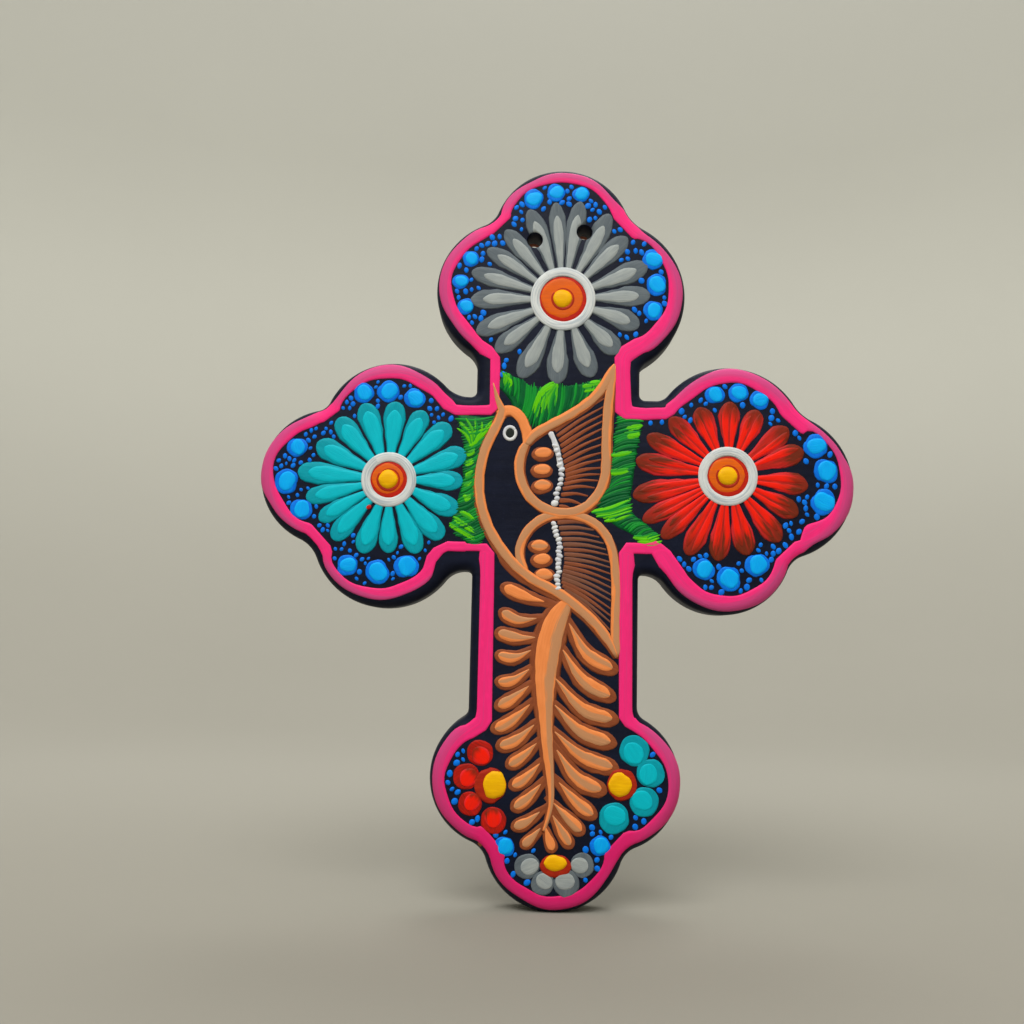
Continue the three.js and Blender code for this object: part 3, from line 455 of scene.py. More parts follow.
LEAF = [(0, 0.3), (0.08, 0.8), (0.3, 1), (0.6, 0.9), (0.85, 0.6), (1, 0.12)]
ROUND = [(0.5 - 0.5 * math.cos(math.pi * k / 10), max(0.1, math.sin(math.pi * k / 10))) for k in range(11)]
BEAK_LINE = [(0, 0.1), (0.05, 0.5), (0.1, 0.95), (0.14, 1), (0.93, 1), (1, 0.3)]
HEAD_LINE = [(0, 1), (0.84, 1), (1, 0.35)]
WING_LINE = [(0, 0.5), (0.03, 0.9), (0.06, 1), (0.86, 1), (0.95, 0.75), (1, 0.2)]


def stroke(marks, half, profile, low=-0.03, rise=0.2, rings=14, lift=0.0, shade=0.5, wobble=0.04, edge=0.45,
           depth=0.08):
    """One stroke of paint: marks along its middle, half width, and the heights of its edge and its back"""
    shares = 0.5 - 0.5 * np.cos(np.linspace(0, math.pi, rings))
    if rings > 20:
        shares = 0.35 * shares + 0.65 * np.linspace(0, 1, rings)
    path, length = smooth_path(marks, shares)
    phase = vary(0, 6.28)
    turns = shares * (length / 5.0)
    halves = np.interp(shares, *zip(*profile)) * half * (1 + wobble * np.sin(phase + turns * 6.28))
    ways = np.gradient(path, axis=0)
    ways /= np.maximum(np.hypot(*ways.T)[:, None], 1e-9)
    sides = np.column_stack([-ways[:, 1], ways[:, 0]])
    sway = 0.5 * wobble * half * np.sin(shares * math.pi) * np.sin(phase * 2 + turns * 9)
    return dict(path=path + sides * sway[:, None], halves=halves, sides=sides, shares=shares, length=length,
                low=low + lift, rise=rise, edge=edge, shade=shade, depth=depth, seed=brush_hand.random())


def blob(x, y, half_width, half_height=None, turn=0.0, **more):
    """A dab of paint, round or oval"""
    dx, dy = turned((half_width, 0), turn)
    return stroke([(x - dx, y - dy), (x, y), (x + dx, y + dy)], half_height or half_width, ROUND,
                  **{"rings": 9, "wobble": 0.05, **more})


def lay_paint(name, strokes, paint, node="", sides=12, holes=False):
    """One pass of paint from its strokes, as the solid of that name unless another node or none is given"""
    paths = [np.column_stack([one["path"], one["halves"]]) for one in strokes]
    piece = tubes(f"painted_{name}", paths, sides)
    co = np.zeros(len(piece.data.vertices) * 3, np.float32)
    piece.data.vertices.foreach_get("co", co)
    co = co.reshape(-1, 3).astype(float) / MM
    brush, share = np.zeros_like(co), np.zeros_like(co)
    first = 0
    for one in strokes:
        rings = len(one["path"])
        block = slice(first, first + rings * sides)
        first += rings * sides
        ring = co[block].reshape(rings, sides, 3)
        halves = one["halves"][:, None]
        across = ((ring[:, :, :2] - one["path"][:, None]) * one["sides"][:, None]).sum(2) / halves
        travelled = one["shares"][:, None] * one["length"]
        from_end = np.minimum(travelled, one["length"] - travelled) + 0.15 * halves.max()
        from_edge = np.minimum((1 - np.abs(across)) * halves, from_end)
        rounded = np.sqrt(1 - (1 - np.clip(from_edge / one["edge"], 0, 1)) ** 2)
        crown = 1 - 0.18 * across ** 2
        front = ring[:, :, 2] > -1e-3 * halves
        back = one["low"] - one["depth"]
        ring[:, :, 2] = np.where(front, one["low"] + one["rise"] * rounded * crown, back)
        for notes, values in ((brush, (travelled, across * halves, one["seed"] * 50)),
                              (share, (one["shares"][:, None], across, one["shade"]))):
            notes[block] = np.dstack(np.broadcast_arrays(*values)).reshape(-1, 3)
    if first != len(co):
        raise RuntimeError(f"{name}: {len(co)} vertices, {first} expected")
    move_vertices(piece, co)
    note(piece, "brush", brush)
    note(piece, "share", share)
    with edit_mode(piece):
        bpy.ops.mesh.fill_holes(sides=0)
        face_outwards()
    if holes:
        punch_holes(piece, PAINT_HOLE_GAP)
    select_only(piece)
    bpy.ops.object.shade_smooth()
    fit_on_frame(piece, paint, [] if node is None else [node or name])


# Finishes
def tint(red, green, blue):
    """A colour as mixed on the palette, 0 to 255, in the shader's terms"""
    return tuple((c / 255 / 12.92) if c <= 10.3 else ((c / 255 + 0.055) / 1.055) ** 2.4
                 for c in (red, green, blue)) + (1.0,)


class Reading:
    """A value read in a finish; sums, differences and products add their Math nodes"""

    def __init__(self, finish, socket):
        self.finish, self.socket = finish, socket

    def combine(self, operation, first, second):
        return self.finish.node("ShaderNodeMath", dict(operation=operation), {0: first, 1: second})

    def __add__(self, other):
        return self.combine("ADD", self, other)

    def __sub__(self, other):
        return self.combine("SUBTRACT", self, other)

    def __mul__(self, other):
        return self.combine("MULTIPLY", self, other)

    def __rsub__(self, other):
        return self.combine("SUBTRACT", other, self)

    __radd__, __rmul__ = __add__, __mul__


class Finish:
    """One procedural finish with its Principled shader"""

    def __init__(self, name, **constants):
        self.material = bpy.data.materials.new(name)
        self.material.use_nodes = True
        self.tree = self.material.node_tree
        self.shader = self.tree.nodes["Principled BSDF"]
        for socket, value in constants.items():
            self.shader.inputs[socket.replace("_", " ")].default_value = value

    def plug(self, socket, value):
        if isinstance(value, Reading):
            self.tree.links.new(value.socket, socket)
        else:
            socket.default_value = value

    def node(self, kind, settings=None, inputs=None, output=0):
        made = self.tree.nodes.new(kind)
        for key, value in (settings or {}).items():
            setattr(made, key, value)
        for key, value in (inputs or {}).items():
            self.plug(made.inputs[key], value)
        return Reading(self, made.outputs[output])

    def feed(self, socket, value):
        self.plug(self.shader.inputs[socket], value)

    def axes(self, vector):
        split = self.node("ShaderNodeSeparateXYZ", None, {0: vector})
        return [Reading(self, output) for output in split.socket.node.outputs]

    def attribute(self, name):
        return self.axes(self.node("ShaderNodeAttribute", dict(attribute_name=name), None, "Vector"))

    def place(self):
        return self.node("ShaderNodeTexCoord", None, None, "Object")

    def vector(self, x, y, z):
        return self.node("ShaderNodeCombineXYZ", None, {0: x, 1: y, 2: z})

    def noise(self, vector, scale=1.0, detail=2.0, rough=0.5):
        return self.node("ShaderNodeTexNoise", None, {
            "Vector": vector, "Scale": scale, "Detail": detail, "Roughness": rough}, "Fac")

    def band(self, value, low, high):
        """0 below low, 1 above high, and smooth between"""
        return self.node("ShaderNodeMapRange", dict(interpolation_type="SMOOTHSTEP"), {
            "Value": value, "From Min": low, "From Max": high})

    def mix(self, factor, first, second):
        """Two colours, each a reading or its red, green and blue on the palette"""
        first, second = [tint(*one) if isinstance(one, tuple) else one for one in (first, second)]
        return self.node("ShaderNodeMix", dict(data_type="RGBA"), {0: factor, 6: first, 7: second}, 2)

    def bump(self, height, distance):
        return self.node("ShaderNodeBump", None, {"Height": height, "Distance": distance, "Strength": 1.0},
                         "Normal")


class Paint(Finish):
    """A finish that knows where on its stroke of paint it is"""

    def __init__(self, name, **constants):
        super().__init__(name, **constants)
        self.along, self.across, self.seed = self.attribute("brush")
        self.share, self.side, self.shade = self.attribute("share")

    def bristles(self, along, across, detail=2.0, rough=0.5, seed=None):
        """Streaks that follow the brush, so many to the millimetre along and across the stroke"""
        seed = self.seed if seed is None else seed
        return self.noise(self.vector(self.along * along, self.across * across, seed), 1.0, detail, rough)


def acrylic(name, light, deep, extra=None, spacing=2.6, contrast=(0.35, 0.7)):
    """Thick satin acrylic with the bristles' streaks along each stroke"""
    paint = Paint(name, Roughness=0.42, Specular_IOR_Level=0.12)
    streaks = paint.bristles(0.16, spacing, 3.0, 0.6)
    pools = paint.bristles(0.3, 0.5, 1.0, seed=paint.seed + 9)
    colour = paint.mix(paint.band(streaks * 0.6 + pools * 0.4, *contrast), deep, light)
    paint.feed("Base Color", extra(paint, colour) if extra else colour)
    fine = paint.bristles(0.35, 7)
    paint.feed("Roughness", 0.34 + fine * 0.16)
    paint.feed("Normal", paint.bump(fine + streaks, 0.05 * MM))
    return paint.material


def base_coat():
    """Matt navy coat, dragged on with a wide brush, and the clay where it has worn or chipped through"""
    finish = Finish("dark_base_coat", Roughness=0.5, Specular_IOR_Level=0.13)
    place = finish.place()
    x, y, z = finish.axes(place)
    rim, wall, back = finish.attribute("bare")
    grain = finish.noise(place, 900, 3)
    cloud = finish.noise(place, 60, 3)
    drag = finish.noise(finish.vector(x * 45.0, y * 300.0, z * 520.0), 1.0, 4.0, 0.6)
    colour = finish.mix(finish.band(cloud * 0.5 + drag * 0.5, 0.38, 0.66), (10, 15, 33), (16, 22, 43))
    colour = finish.mix(finish.band(grain, 0.62, 0.75) * 0.5, colour, (24, 30, 51))
    colour = finish.mix(back * finish.band(drag, 0.46, 0.72) * 0.6, colour, (34, 39, 60))
    chip = finish.node("ShaderNodeVectorMath", dict(operation="DISTANCE"), {0: place, 1: CHIP}, 1)
    chip = 1.0 - finish.band(chip + grain * 0.0009, 0.0010, 0.0014)
    scuffs = back * finish.band(finish.noise(place, 26, 2), 0.56, 0.7)
    worn = rim * 0.54 + wall * 0.85 + chip + scuffs * 0.26 + finish.noise(place, 420, 5, 0.65) * 0.9 - 0.45
    worn = finish.band(worn, 0.6, 0.68)
    clay = finish.mix(finish.noise(place, 1400, 3), (118, 62, 40), (170, 98, 64))
    finish.feed("Base Color", finish.mix(worn, colour, clay))
    finish.feed("Roughness", 0.42 + drag * 0.16 + worn * 0.35)
    finish.feed("Normal", finish.bump(grain * 0.6 + cloud * 3 + drag * 1.2 - worn * 1.5, 0.08 * MM))
    return finish.material


def tan_middle(paint, colour):
    """A tan left along the middle of each orange stroke, as wide as the stroke's shade says"""
    drift = paint.noise(paint.vector(paint.along * 0.1, paint.seed, 3.0), 1.0, 1.0) - 0.5
    streak = paint.bristles(0.14, 3.2, 3.0, 0.6) - 0.5
    aside = paint.noise(paint.vector(paint.seed, 5.0, 1.0), 3.7, 0.0) - 0.5
    off = paint.side + drift * 1.1 + aside * 1.7
    width = paint.shade * paint.shade * (0.62 + drift * 1.6)
    core = 1.0 - paint.band(off * off + streak * 0.5, width * 0.5, width + 0.16)
    return paint.mix(core * paint.band(paint.shade, 0.08, 0.3) * 0.92, colour, (192, 139, 98))


def border_tones(paint, colour):
    """Painted sheen: mauve where the border rolls over the rounded edge, clear in the valleys; mauve streaks
    along the brush; deeper at the foot
    """
    drift = paint.bristles(0.05, 0.9, 3.0, 0.55, seed=2.0)
    # Painted sheen: the mauve over the rounded edge stands in for the soft reflection that the tilted paint
    # picks up there
    painted_sheen_on_edge = 1.0 - paint.band(paint.across + drift * 2.6, 5.0, 7.2)
    mauve_streaks = paint.band(paint.bristles(0.03, 2.2, seed=7.0), 0.52, 0.68)
    clear = 1.0 - paint.band(paint.share + drift * 0.3, 0.25, 0.9)
    colour = paint.mix(painted_sheen_on_edge * 0.85 * clear + mauve_streaks * 0.34, colour, (198, 72, 130))
    foot = 1.0 - paint.band(paint.axes(paint.place())[2], -0.176, -0.13)
    return paint.mix(foot * 0.75, colour, (206, 22, 98))


def brown_tips(paint, colour):
    """Brown dragged into the wet red at the tips, rosier along the edges"""
    smear = paint.bristles(0.12, 0.8)
    tip = paint.band(paint.share + smear * 0.6 + paint.shade * 0.1, 0.86, 1.26)
    middle = paint.band(smear + paint.shade * 0.24, 0.6, 0.84) * paint.band(paint.share, 0.1, 0.4)
    colour = paint.mix(paint.band(paint.side * paint.side, 0.35, 0.85) * 0.65, colour, (224, 44, 56))
    return paint.mix((tip + middle * 0.7) * 0.84, colour, (112, 40, 20))


def leaf_greens(paint, colour):
    """From deep green to lime, stroke by stroke"""
    colour = paint.mix(paint.band(paint.shade, 0.15, 0.5), colour, (16, 142, 46))
    return paint.mix(paint.band(paint.shade, 0.58, 0.9), colour, (98, 200, 0))


def dusty(paint, colour):
    """The lower wing's ribs, drawn with a dry brush"""
    return paint.mix(paint.band(paint.shade, 0.6, 0.9) * 0.85, colour, (120, 80, 62))


def grey_streaks(paint, colour):
    """Faint grey streaks that the brush left round the white ring"""
    streaks = paint.band(paint.bristles(0.1, 2.2, 3.0, 0.6), 0.47, 0.64)
    return paint.mix(streaks * 0.9, colour, (172, 182, 188))


# Paints: material, slot, light and deep colour, and what else shows in it
PAINTS = {
    "pink": ("border_pink", "border_pink", (255, 44, 128), (244, 44, 122), border_tones, 1.1, (0.4, 0.7)),
    "grey": ("petal_grey", "petal_grey", (104, 113, 118), (90, 99, 106)),
    "light_grey": ("petal_light_grey", "petal_light_grey", (164, 170, 168), (148, 155, 156)),
    "teal": ("petal_teal", "petal_teal", (0, 160, 176), (0, 149, 166)),
    "light_teal": ("petal_light_teal", "petal_light_teal", (0, 190, 206), (0, 181, 198)),
    "red": ("petal_red", "petal_brick", (206, 36, 22), (178, 34, 26), brown_tips),
    "scarlet": ("petal_scarlet", "petal_red", (252, 28, 0), (240, 32, 14), brown_tips),
    "blossom_red": ("blossom_red", "petal_red", (196, 26, 12), (150, 28, 18)),
    "white": ("centre_white", "centre_white", (219, 222, 220), (206, 209, 208), grey_streaks),
    "bead": ("bead_white", "centre_white", (226, 226, 222), (200, 202, 212)),
    "rim_red": ("centre_red", "centre_maroon", (200, 36, 14), (180, 30, 16)),
    "coral": ("centre_orange", "centre_coral", (232, 100, 0), (214, 92, 24)),
    "maroon": ("centre_maroon", "centre_maroon", (180, 46, 20), (158, 36, 18)),
    "yellow": ("centre_yellow", "centre_yellow", (247, 188, 0), (236, 172, 0)),
    "leaf": ("leaf_green", "leaf_green", (0, 104, 48), (0, 84, 40), leaf_greens),
    "brown": ("bird_brown", "bird_brown", (154, 82, 46), (132, 68, 40), dusty),
    "orange": ("bird_orange", "bird_orange", (246, 148, 84), (236, 138, 74), tan_middle),
    "blue": ("dot_blue", "dot_blue", (0, 126, 240), (0, 108, 222)),
    "sky": ("dot_light_blue", "dot_blue", (0, 178, 250), (0, 164, 248)),
    "pupil": ("eye_dark", "dark_base_coat", (44, 50, 46), (30, 36, 34)),
}
FINISHES = {key: (acrylic(name, *mixed), slot) for key, (name, slot, *mixed) in PAINTS.items()}
FINISHES["base"] = (base_coat(), "dark_base_coat")


# The slab
def make_slab():
    bpy.ops.object.select_all(action="DESELECT")
    bpy.ops.mesh.primitive_circle_add(vertices=len(EDGE), radius=80 * MM, fill_type="NGON")
    slab = bpy.context.object
    slab.name = slab.data.name = "clay_slab_dressed"
    for vertex, (x, y) in zip(slab.data.vertices, EDGE):
        vertex.co = (x * MM, y * MM, 0)
    with edit_mode(slab):
        bpy.ops.mesh.extrude_region_move(TRANSFORM_OT_translate={"value": (0, 0, -SLAB_THICKNESS * MM)})
        face_outwards()
        for height, offset, segments in ((0, FRONT_ROUND, 8), (-SLAB_THICKNESS, BACK_CHAMFER, 2)):
            select_edges(slab, lambda a, b: max(abs(a.z - height * MM), abs(b.z - height * MM)) < 1e-6)
            bpy.ops.mesh.bevel(offset=offset * MM, segments=segments, profile=0.5, affect="EDGES",
                               offset_type="OFFSET", clamp_overlap=False)
        select_faces(slab, lambda face: face.normal.z < -0.99 and len(face.verts) > 50)
        bpy.ops.mesh.inset(thickness=4 * MM, depth=0)
    punch_holes(slab)
    with edit_mode(slab):
        select_edges(slab, lambda a, b: min(a.z, b.z) > -1e-6 and in_a_hole(a) and in_a_hole(b))
        bpy.ops.mesh.bevel(offset=0.2 * MM, segments=3, profile=0.5, affect="EDGES", clamp_overlap=False)
    mark_bare_clay(slab)
    select_only(slab)
    bpy.ops.object.shade_smooth_by_angle(angle=math.radians(35))
    fit_on_frame(slab, "base", ["clay_slab"])


def in_a_hole(place):
    return min(math.hypot(place.x / MM - x, place.y / MM - y) for x, y in HOLES) < HOLE_RADIUS + 0.02


def mark_bare_clay(slab):
    """Notes at the faces' corners how near the back's rim they are, and if in a hole or at the back"""
    mesh = slab.data
    from_edge = edge_distance(np.array([v.co[:2] for v in mesh.vertices]) / MM)
    bare = np.zeros((len(mesh.loops), 3))
    for face in mesh.polygons:
        deep = face.center.z / MM
        wall = abs(face.normal.z) < 0.5 and from_edge[face.vertices[0]] > 5
        for loop in face.loop_indices:
            vertex = mesh.loops[loop].vertex_index
            z = mesh.vertices[vertex].co.z / MM
            rim = 0.3 if deep > -9 else np.clip(1.15 - from_edge[vertex] / 4, 0, 1)
            bare[loop] = (rim if z < -9 and not wall else 0, wall and z < -2, deep < -10)
    note(slab, "bare", bare, "CORNER")


# The border
def surface_run(inset):
    """Distance over the rounded edge, from where it meets the side, of a place that far in from the edge"""
    if inset < 0:
        return inset
    if inset < FRONT_ROUND:
        return FRONT_ROUND * math.acos(1 - inset / FRONT_ROUND)
    return FRONT_ROUND * math.pi / 2 + inset - FRONT_ROUND


def inset_of(run):
    quarter = FRONT_ROUND * math.pi / 2
    rounded = FRONT_ROUND * (1 - np.cos(np.clip(run, 0, quarter) / FRONT_ROUND))
    return np.where(run > quarter, run - quarter + FRONT_ROUND, rounded)


def border_stations():
    """Places round the edge: base, way out, place among the margins there, these margins and, at a corner,
    how to mitre them"""
    stations = []
    margins_of = [(0, 1), (1, 4), (4, 5), (5, 10), (10, 11), (11, 14), (14, 15), (15, 16)]
    sharpness = {0: 0.9, 2: 0.4, 4: 0.4, 6: 0.9, 7: 0.96}
    for i, (centre, radius, bulge, start, sweep) in enumerate(edge_arcs()):
        margins = ENDS[i // 8]["border"][slice(*margins_of[i % 8])]
        if bulge > 0:
            steps = max(14, int(abs(sweep) * radius / 1.6))
            for share in [k / steps for k in range(steps + 1)]:
                way = towards(start + sweep * share)
                stations.append((centre + radius * way, way, share * len(margins) - 0.5, margins, None))
            continue
        a, b = towards(start), towards(start + sweep)
        corner = centre + radius * (a + b) / (1 + a @ b)
        for share in (0.0, 0.2, 0.4, 0.48, 0.52, 0.6, 0.8, 1.0):
            way = towards(start + sweep * share)
            near = sharpness[i % 8] * (1 - abs(share - 0.5) * 2)
            mitre = (share <= 0.5, near, centre + radius * a, centre + radius * b, -a, -b, corner)
            stations.append((centre + radius * way, -way, 0.0, margins, mitre))
    return [one for one, before in zip(stations, stations[-1:] + stations[:-1])
            if np.hypot(*(one[0] - before[0])) > 0.05]


def eased(rows):
    return (np.roll(rows, 1, axis=0) + 2 * rows + np.roll(rows, -1, axis=0)) / 4


def make_border():
    """The pink band: a ring of paint drawn round the face, over the rounded edge where it runs wide"""
    stations = border_stations()
    bases, ways = [np.array([station[k] for station in stations]) for k in (0, 1)]
    travelled = np.concatenate([[0], np.cumsum(np.hypot(*(np.roll(bases, -1, axis=0) - bases).T))[:-1]])
    valley = np.array([1.0 if station[4] else 0.0 for station in stations])
    runs = []
    for _, _, place, margins, mitre in stations:
        low = int(min(max(place, 0), len(margins) - 1))
        high = min(low + 1, len(margins) - 1)
        t = min(max(place - low, 0), 1)
        before, after = slice(0, 2), slice(-2, None)
        for side in (before, after) if not mitre or mitre[0] else (after, before):
            runs += [surface_run(a) * (1 - t) + surface_run(b) * t
                     for a, b in zip(margins[low][side], margins[high][side])]
    runs = np.array(runs).reshape(-1, 4)
    for _ in range(3):
        runs += (1 - valley)[:, None] * (eased(runs) - runs)
    for _ in range(16):
        valley = eased(valley)
    runs[:, 0::2] += 0.09 * (np.sin(travelled / 3.7 + 1) + np.sin(travelled / 2.1))[:, None]
    runs[:, 1::2] += 0.11 * (np.sin(travelled / 4.3) + np.sin(travelled / 1.9 + 2))[:, None]
    weights = 0.5 - 0.5 * np.cos(np.linspace(0, math.pi, BORDER_ROWS))
    run = runs[:, :1] + (runs[:, 1:2] - runs[:, :1]) * weights
    inset, beyond = inset_of(run), inset_of(runs[:, 2:3] + (runs[:, 3:] - runs[:, 2:3]) * weights)
    plan = bases[:, None] - ways[:, None] * inset[:, :, None]
    for row, mine, other, (_, _, _, _, mitre) in zip(plan, inset, beyond, stations):
        if mitre:
            before, near, first, last, first_way, last_way, corner = mitre
            here, there = (first_way, last_way) if before else (last_way, first_way)
            c = here @ there
            meet = np.outer(c * other - mine, here) + np.outer(c * mine - other, there)
            meet = corner + meet / (1 - c * c)
            straight = (first if before else last) - here * mine[:, None]
            sharp = straight + (meet - straight) * (near * (1 - 0.22 * weights))[:, None]
            row += (sharp - row) * np.clip((mine - 1.0) / 2.2, 0, 1)[:, None]
    inside = np.where(run <= 0, 0, edge_distance(plan.reshape(-1, 2)).reshape(run.shape))
    lean = np.clip(1 - inside / FRONT_ROUND, 0, 1)
    rise = np.sqrt(1 - lean ** 2)
    face = np.dstack([plan, np.minimum(run, 0) - FRONT_ROUND * (1 - rise)])
    out = np.dstack([ways[:, :1] * lean, ways[:, 1:] * lean, rise])
    from_edge = np.minimum(run - run[:, :1], run[:, -1:] - run)
    thick = 0.25 * np.sqrt(1 - (1 - np.clip(from_edge / 0.5, 0, 1)) ** 2) - 0.03
    skin, under = face + out * thick[:, :, None], face - out * 0.12
    band = tubes("painted_border", [[(x, y, 2) for x, y in bases]], 2 * BORDER_ROWS, closed=True)
    move_vertices(band, np.hstack([skin, under[:, ::-1]]))
    for name, values in (("brush", (travelled[:, None], run, 0.0)),
                         ("share", (valley[:, None], weights * 2 - 1, run))):
        rows = np.dstack(np.broadcast_arrays(*values))
        note(band, name, np.hstack([rows, rows[:, ::-1]]))
    with edit_mode(band):
        face_outwards()
    bpy.ops.object.shade_smooth()
    fit_on_frame(band, "pink", ["border_band"])
    return plan[:, -1]


# Daisies
def daisy_petals(daisy):
    """Places of a daisy's petals: marks, half width"""
    petals, root = daisy["petals"], daisy["ring"] - 0.4
    x, y = daisy["at"]
    places = []
    for k, (angle, reach) in enumerate(petals):
        gap = ((petals[(k + 1) % len(petals)][0] - petals[k - 1][0]) % 360) / 2
        half = min(daisy["fullness"] * math.radians(gap) * reach, 3.15)
        bow = vary(-0.35, 0.35)
        c, s = towards(math.radians(angle))
        places.append(([(x + r * c - off * s, y + r * s + off * c)
                        for r, off in ((root, 0), ((root + reach) / 2, bow), (reach, 0))], half))
    return places


def make_daisy(key, petal_paint, gloss_paint):
    daisy = DAISIES[key]
    (x, y), outer = daisy["at"], daisy["ring"]
    places = daisy_petals(daisy)
    petals, glosses = [], []
    for k, (marks, half) in enumerate(places):
        shade = brush_hand.random()
        petals.append(stroke(marks, half, ROUND_PETAL if key == "left" else PETAL, lift=0.004 * (k % 5),
                             shade=shade))
        if key == "right":
            lean = vary(-0.12, 0.12)
            c, s = towards(bearing(marks[0], marks[2]))
            for side in (-1, 1):
                away = half * (0.4 * side + lean)
                drawn = [(px - away * f * s, py + away * f * c) for (px, py), f in
                         zip(resampled(marks, 6, vary(0.78, 0.95)), (0.45, 0.62, 0.8, 0.95, 1.0, 0.8))]
                if brush_hand.random() < 0.86:
                    glosses.append(stroke(drawn, half * 0.36, GLOSS, low=0.08, rise=0.18,
                                          shade=brush_hand.random()))
        else:
            end, width = {"top": (0.8, 0.6), "left": (0.84, 0.74)}[key]
            glosses.append(stroke(resampled(marks, 6, end), half * width, GLOSS, low=0.08,
                                  shade=brush_hand.random()))
    lay_paint(f"{key}_daisy_petals", petals, petal_paint, holes=key == "top")
    lay_paint(f"{key}_daisy_petal_gloss", glosses, gloss_paint, holes=key == "top")
    turns = np.linspace(1.9, 1.9 + math.tau * 1.05, 49)
    ring = stroke(round_marks(x, y, outer - 1.2, outer - 1.2, turns), 1.28, [(0, 1), (1, 1)], low=0.24,
                  rise=np.linspace(0.3, 0.33, 120)[:, None], rings=120, edge=0.9, wobble=0.012, depth=0.3)
    lay_paint(f"{key}_daisy_ring", [ring], "white", sides=14)
    dab = dict(rings=21, wobble=0.012, edge=0.7)
    inner = outer - 2.35
    rim = blob(x + 0.1, y - 0.1, inner + 0.1, low=0.07, rise=0.22, **dab)
    lay_paint(f"{key}_daisy_rim", [rim], "rim_red", None, sides=22)
    disc = blob(x - 0.3, y + 0.25, inner - 0.75, low=0.14, rise=0.24, **dab)
    lay_paint(f"{key}_daisy_disc", [disc], "coral", sides=20)
    heart = stroke(round_marks(x, y, 2.9, 2.9, np.linspace(2.5, 8.5, 16)), 0.6, RIB, low=0.22, rise=0.26,
                   rings=30, edge=0.6)
    lay_paint(f"{key}_daisy_heart", [heart], "maroon")
    if key == "left":
        speck = blob(-50.6, -7.5, 0.75, 0.62, 0.5, low=0.18, rise=0.15)
        lay_paint("red_speck", [speck], "rim_red", None)
    yolk = blob(x - 0.15, y + 0.05, 2.6, low=0.26, rise=0.75, rings=17, wobble=0.03, edge=1.6)
    lay_paint(f"{key}_daisy_yolk", [yolk], "yellow", sides=18)
    return places


def make_leaves(key, sides, slant, bright):
    near, far = [resampled(side, 12) for side in sides]
    middle = (near + far) / 2
    widths = [math.dist(a, b) / 2 for a, b in zip(near, far)]
    strokes = [stroke(middle, max(widths) * 0.94, [(k / 11, w / max(widths)) for k, w in enumerate(widths)],
                      rise=0.1, rings=26, shade=0.0)]
    count = int(smooth_path(middle, [1])[1] / 0.7)
    for k in range(count + 1):
        a, b = [along_marks(side, min(max(k / count + way * slant, 0), 1))
                for side, way in zip(sides, (-1, 1))]
        trim, other_trim = vary(-0.04, 0.08), vary(-0.04, 0.08)
        a, b = a + (b - a) * trim, b + (a - b) * other_trim
        bow = vary(0.2, 0.8) * (1 if key == "leaves_left" else -1)
        dx, dy = b - a
        marks = [a, (a + b) / 2 + bow * np.array((dy, -dx)) / math.hypot(dx, dy), b]
        strokes.append(stroke(marks[::brush_hand.choice((1, -1))], vary(0.42, 0.6), LEAF, rise=0.17,
                              rings=10, lift=0.03 + 0.012 * (k % 7), shade=vary(0.05, 0.62)))
    for marks in bright:
        for _ in range(4):
            dx, dy = vary(-0.5, 0.5), vary(-0.6, 0.6)
            moved = [(x + dx * 0.5 + vary(-0.2, 0.2), y + dy) for x, y in marks]
            strokes.append(stroke(moved, vary(0.42, 0.72), LEAF, rise=0.15, rings=10, lift=vary(0.08, 0.13),
                                  shade=vary(0.6, 0.98)))
    lay_paint(key, strokes, "leaf", sides=8)


# The hummingbird
def make_bird_lines():
    """Each line is orange over a wider brown one that shows as its shadow; the ribs are brown alone"""
    brown, orange = [], []
    for marks, half, profile, lift, shadow, shade in [
        (LOWER_WING, 1.22, EVEN, 0.0, (0.2, -0.35), 0.84),
        (BEAK_THROAT_BELLY, 1.36, BEAK_LINE, 0.12, (-0.45, -0.35), 0.98),
        (HEAD, 1.42, HEAD_LINE, 0.03, (0.25, -0.2), 0.1),
        (UPPER_WING, 1.34, WING_LINE, 0.06, (0.35, -0.35), 0.95),
        (WING_TOP_EDGE, 1.3, WING_LINE, 0.09, (0.15, -0.45), 0.8),
    ]:
        brown.append(stroke(shifted(marks, *shadow), half + 0.12, profile, rise=0.18, rings=40,
                            lift=lift * 0.3))
        orange.append(stroke(marks, half, profile, low=0.08, rise=0.23, rings=44, lift=lift, shade=shade))
    orange.append(stroke([(13, 26), (13.9, 28.8), (14.8, 31.6)], 0.9, LEAF, low=0.08, rise=0.26, shade=0.8))
    for count, pairs, lean, tones in ((15, UPPER_RIBS, 0.5, (0.2, 0.72)), (17, LOWER_RIBS, 0.45, (0.7, 1))):
        for k in range(count):
            at = k / (count - 1) * (len(pairs) - 1)
            columns = zip(*[a + b for a, b in pairs])
            x0, y0, x1, y1 = [np.interp(at, range(len(pairs)), column) for column in columns]
            marks = [(x0 - 0.4, y0), ((x0 + x1) / 2, (y0 + y1) / 2 + lean), (x1, y1 + vary(-0.15, 0.15))]
            brown.append(stroke(marks, vary(0.58, 0.7), RIB, rise=0.16, rings=12, lift=0.004 * (k % 3),
                                shade=vary(*tones)))
    brown.append(stroke([(-15.4, -19.6), (-10.8, -24), (-5.6, -27.4), (-0.4, -30.4), (3.4, -32.4)], 1.6,
                        LEAF, rise=0.16, rings=30))
    brown.append(stroke([(0.6, -6), (2.2, -6.2), (3.6, -6.5)], 0.5, LEAF, rise=0.15))
    lay_paint("bird_brown", brown, "brown", "bird_brown_lines")
    lay_paint("bird_orange", orange, "orange", "bird_orange_lines")


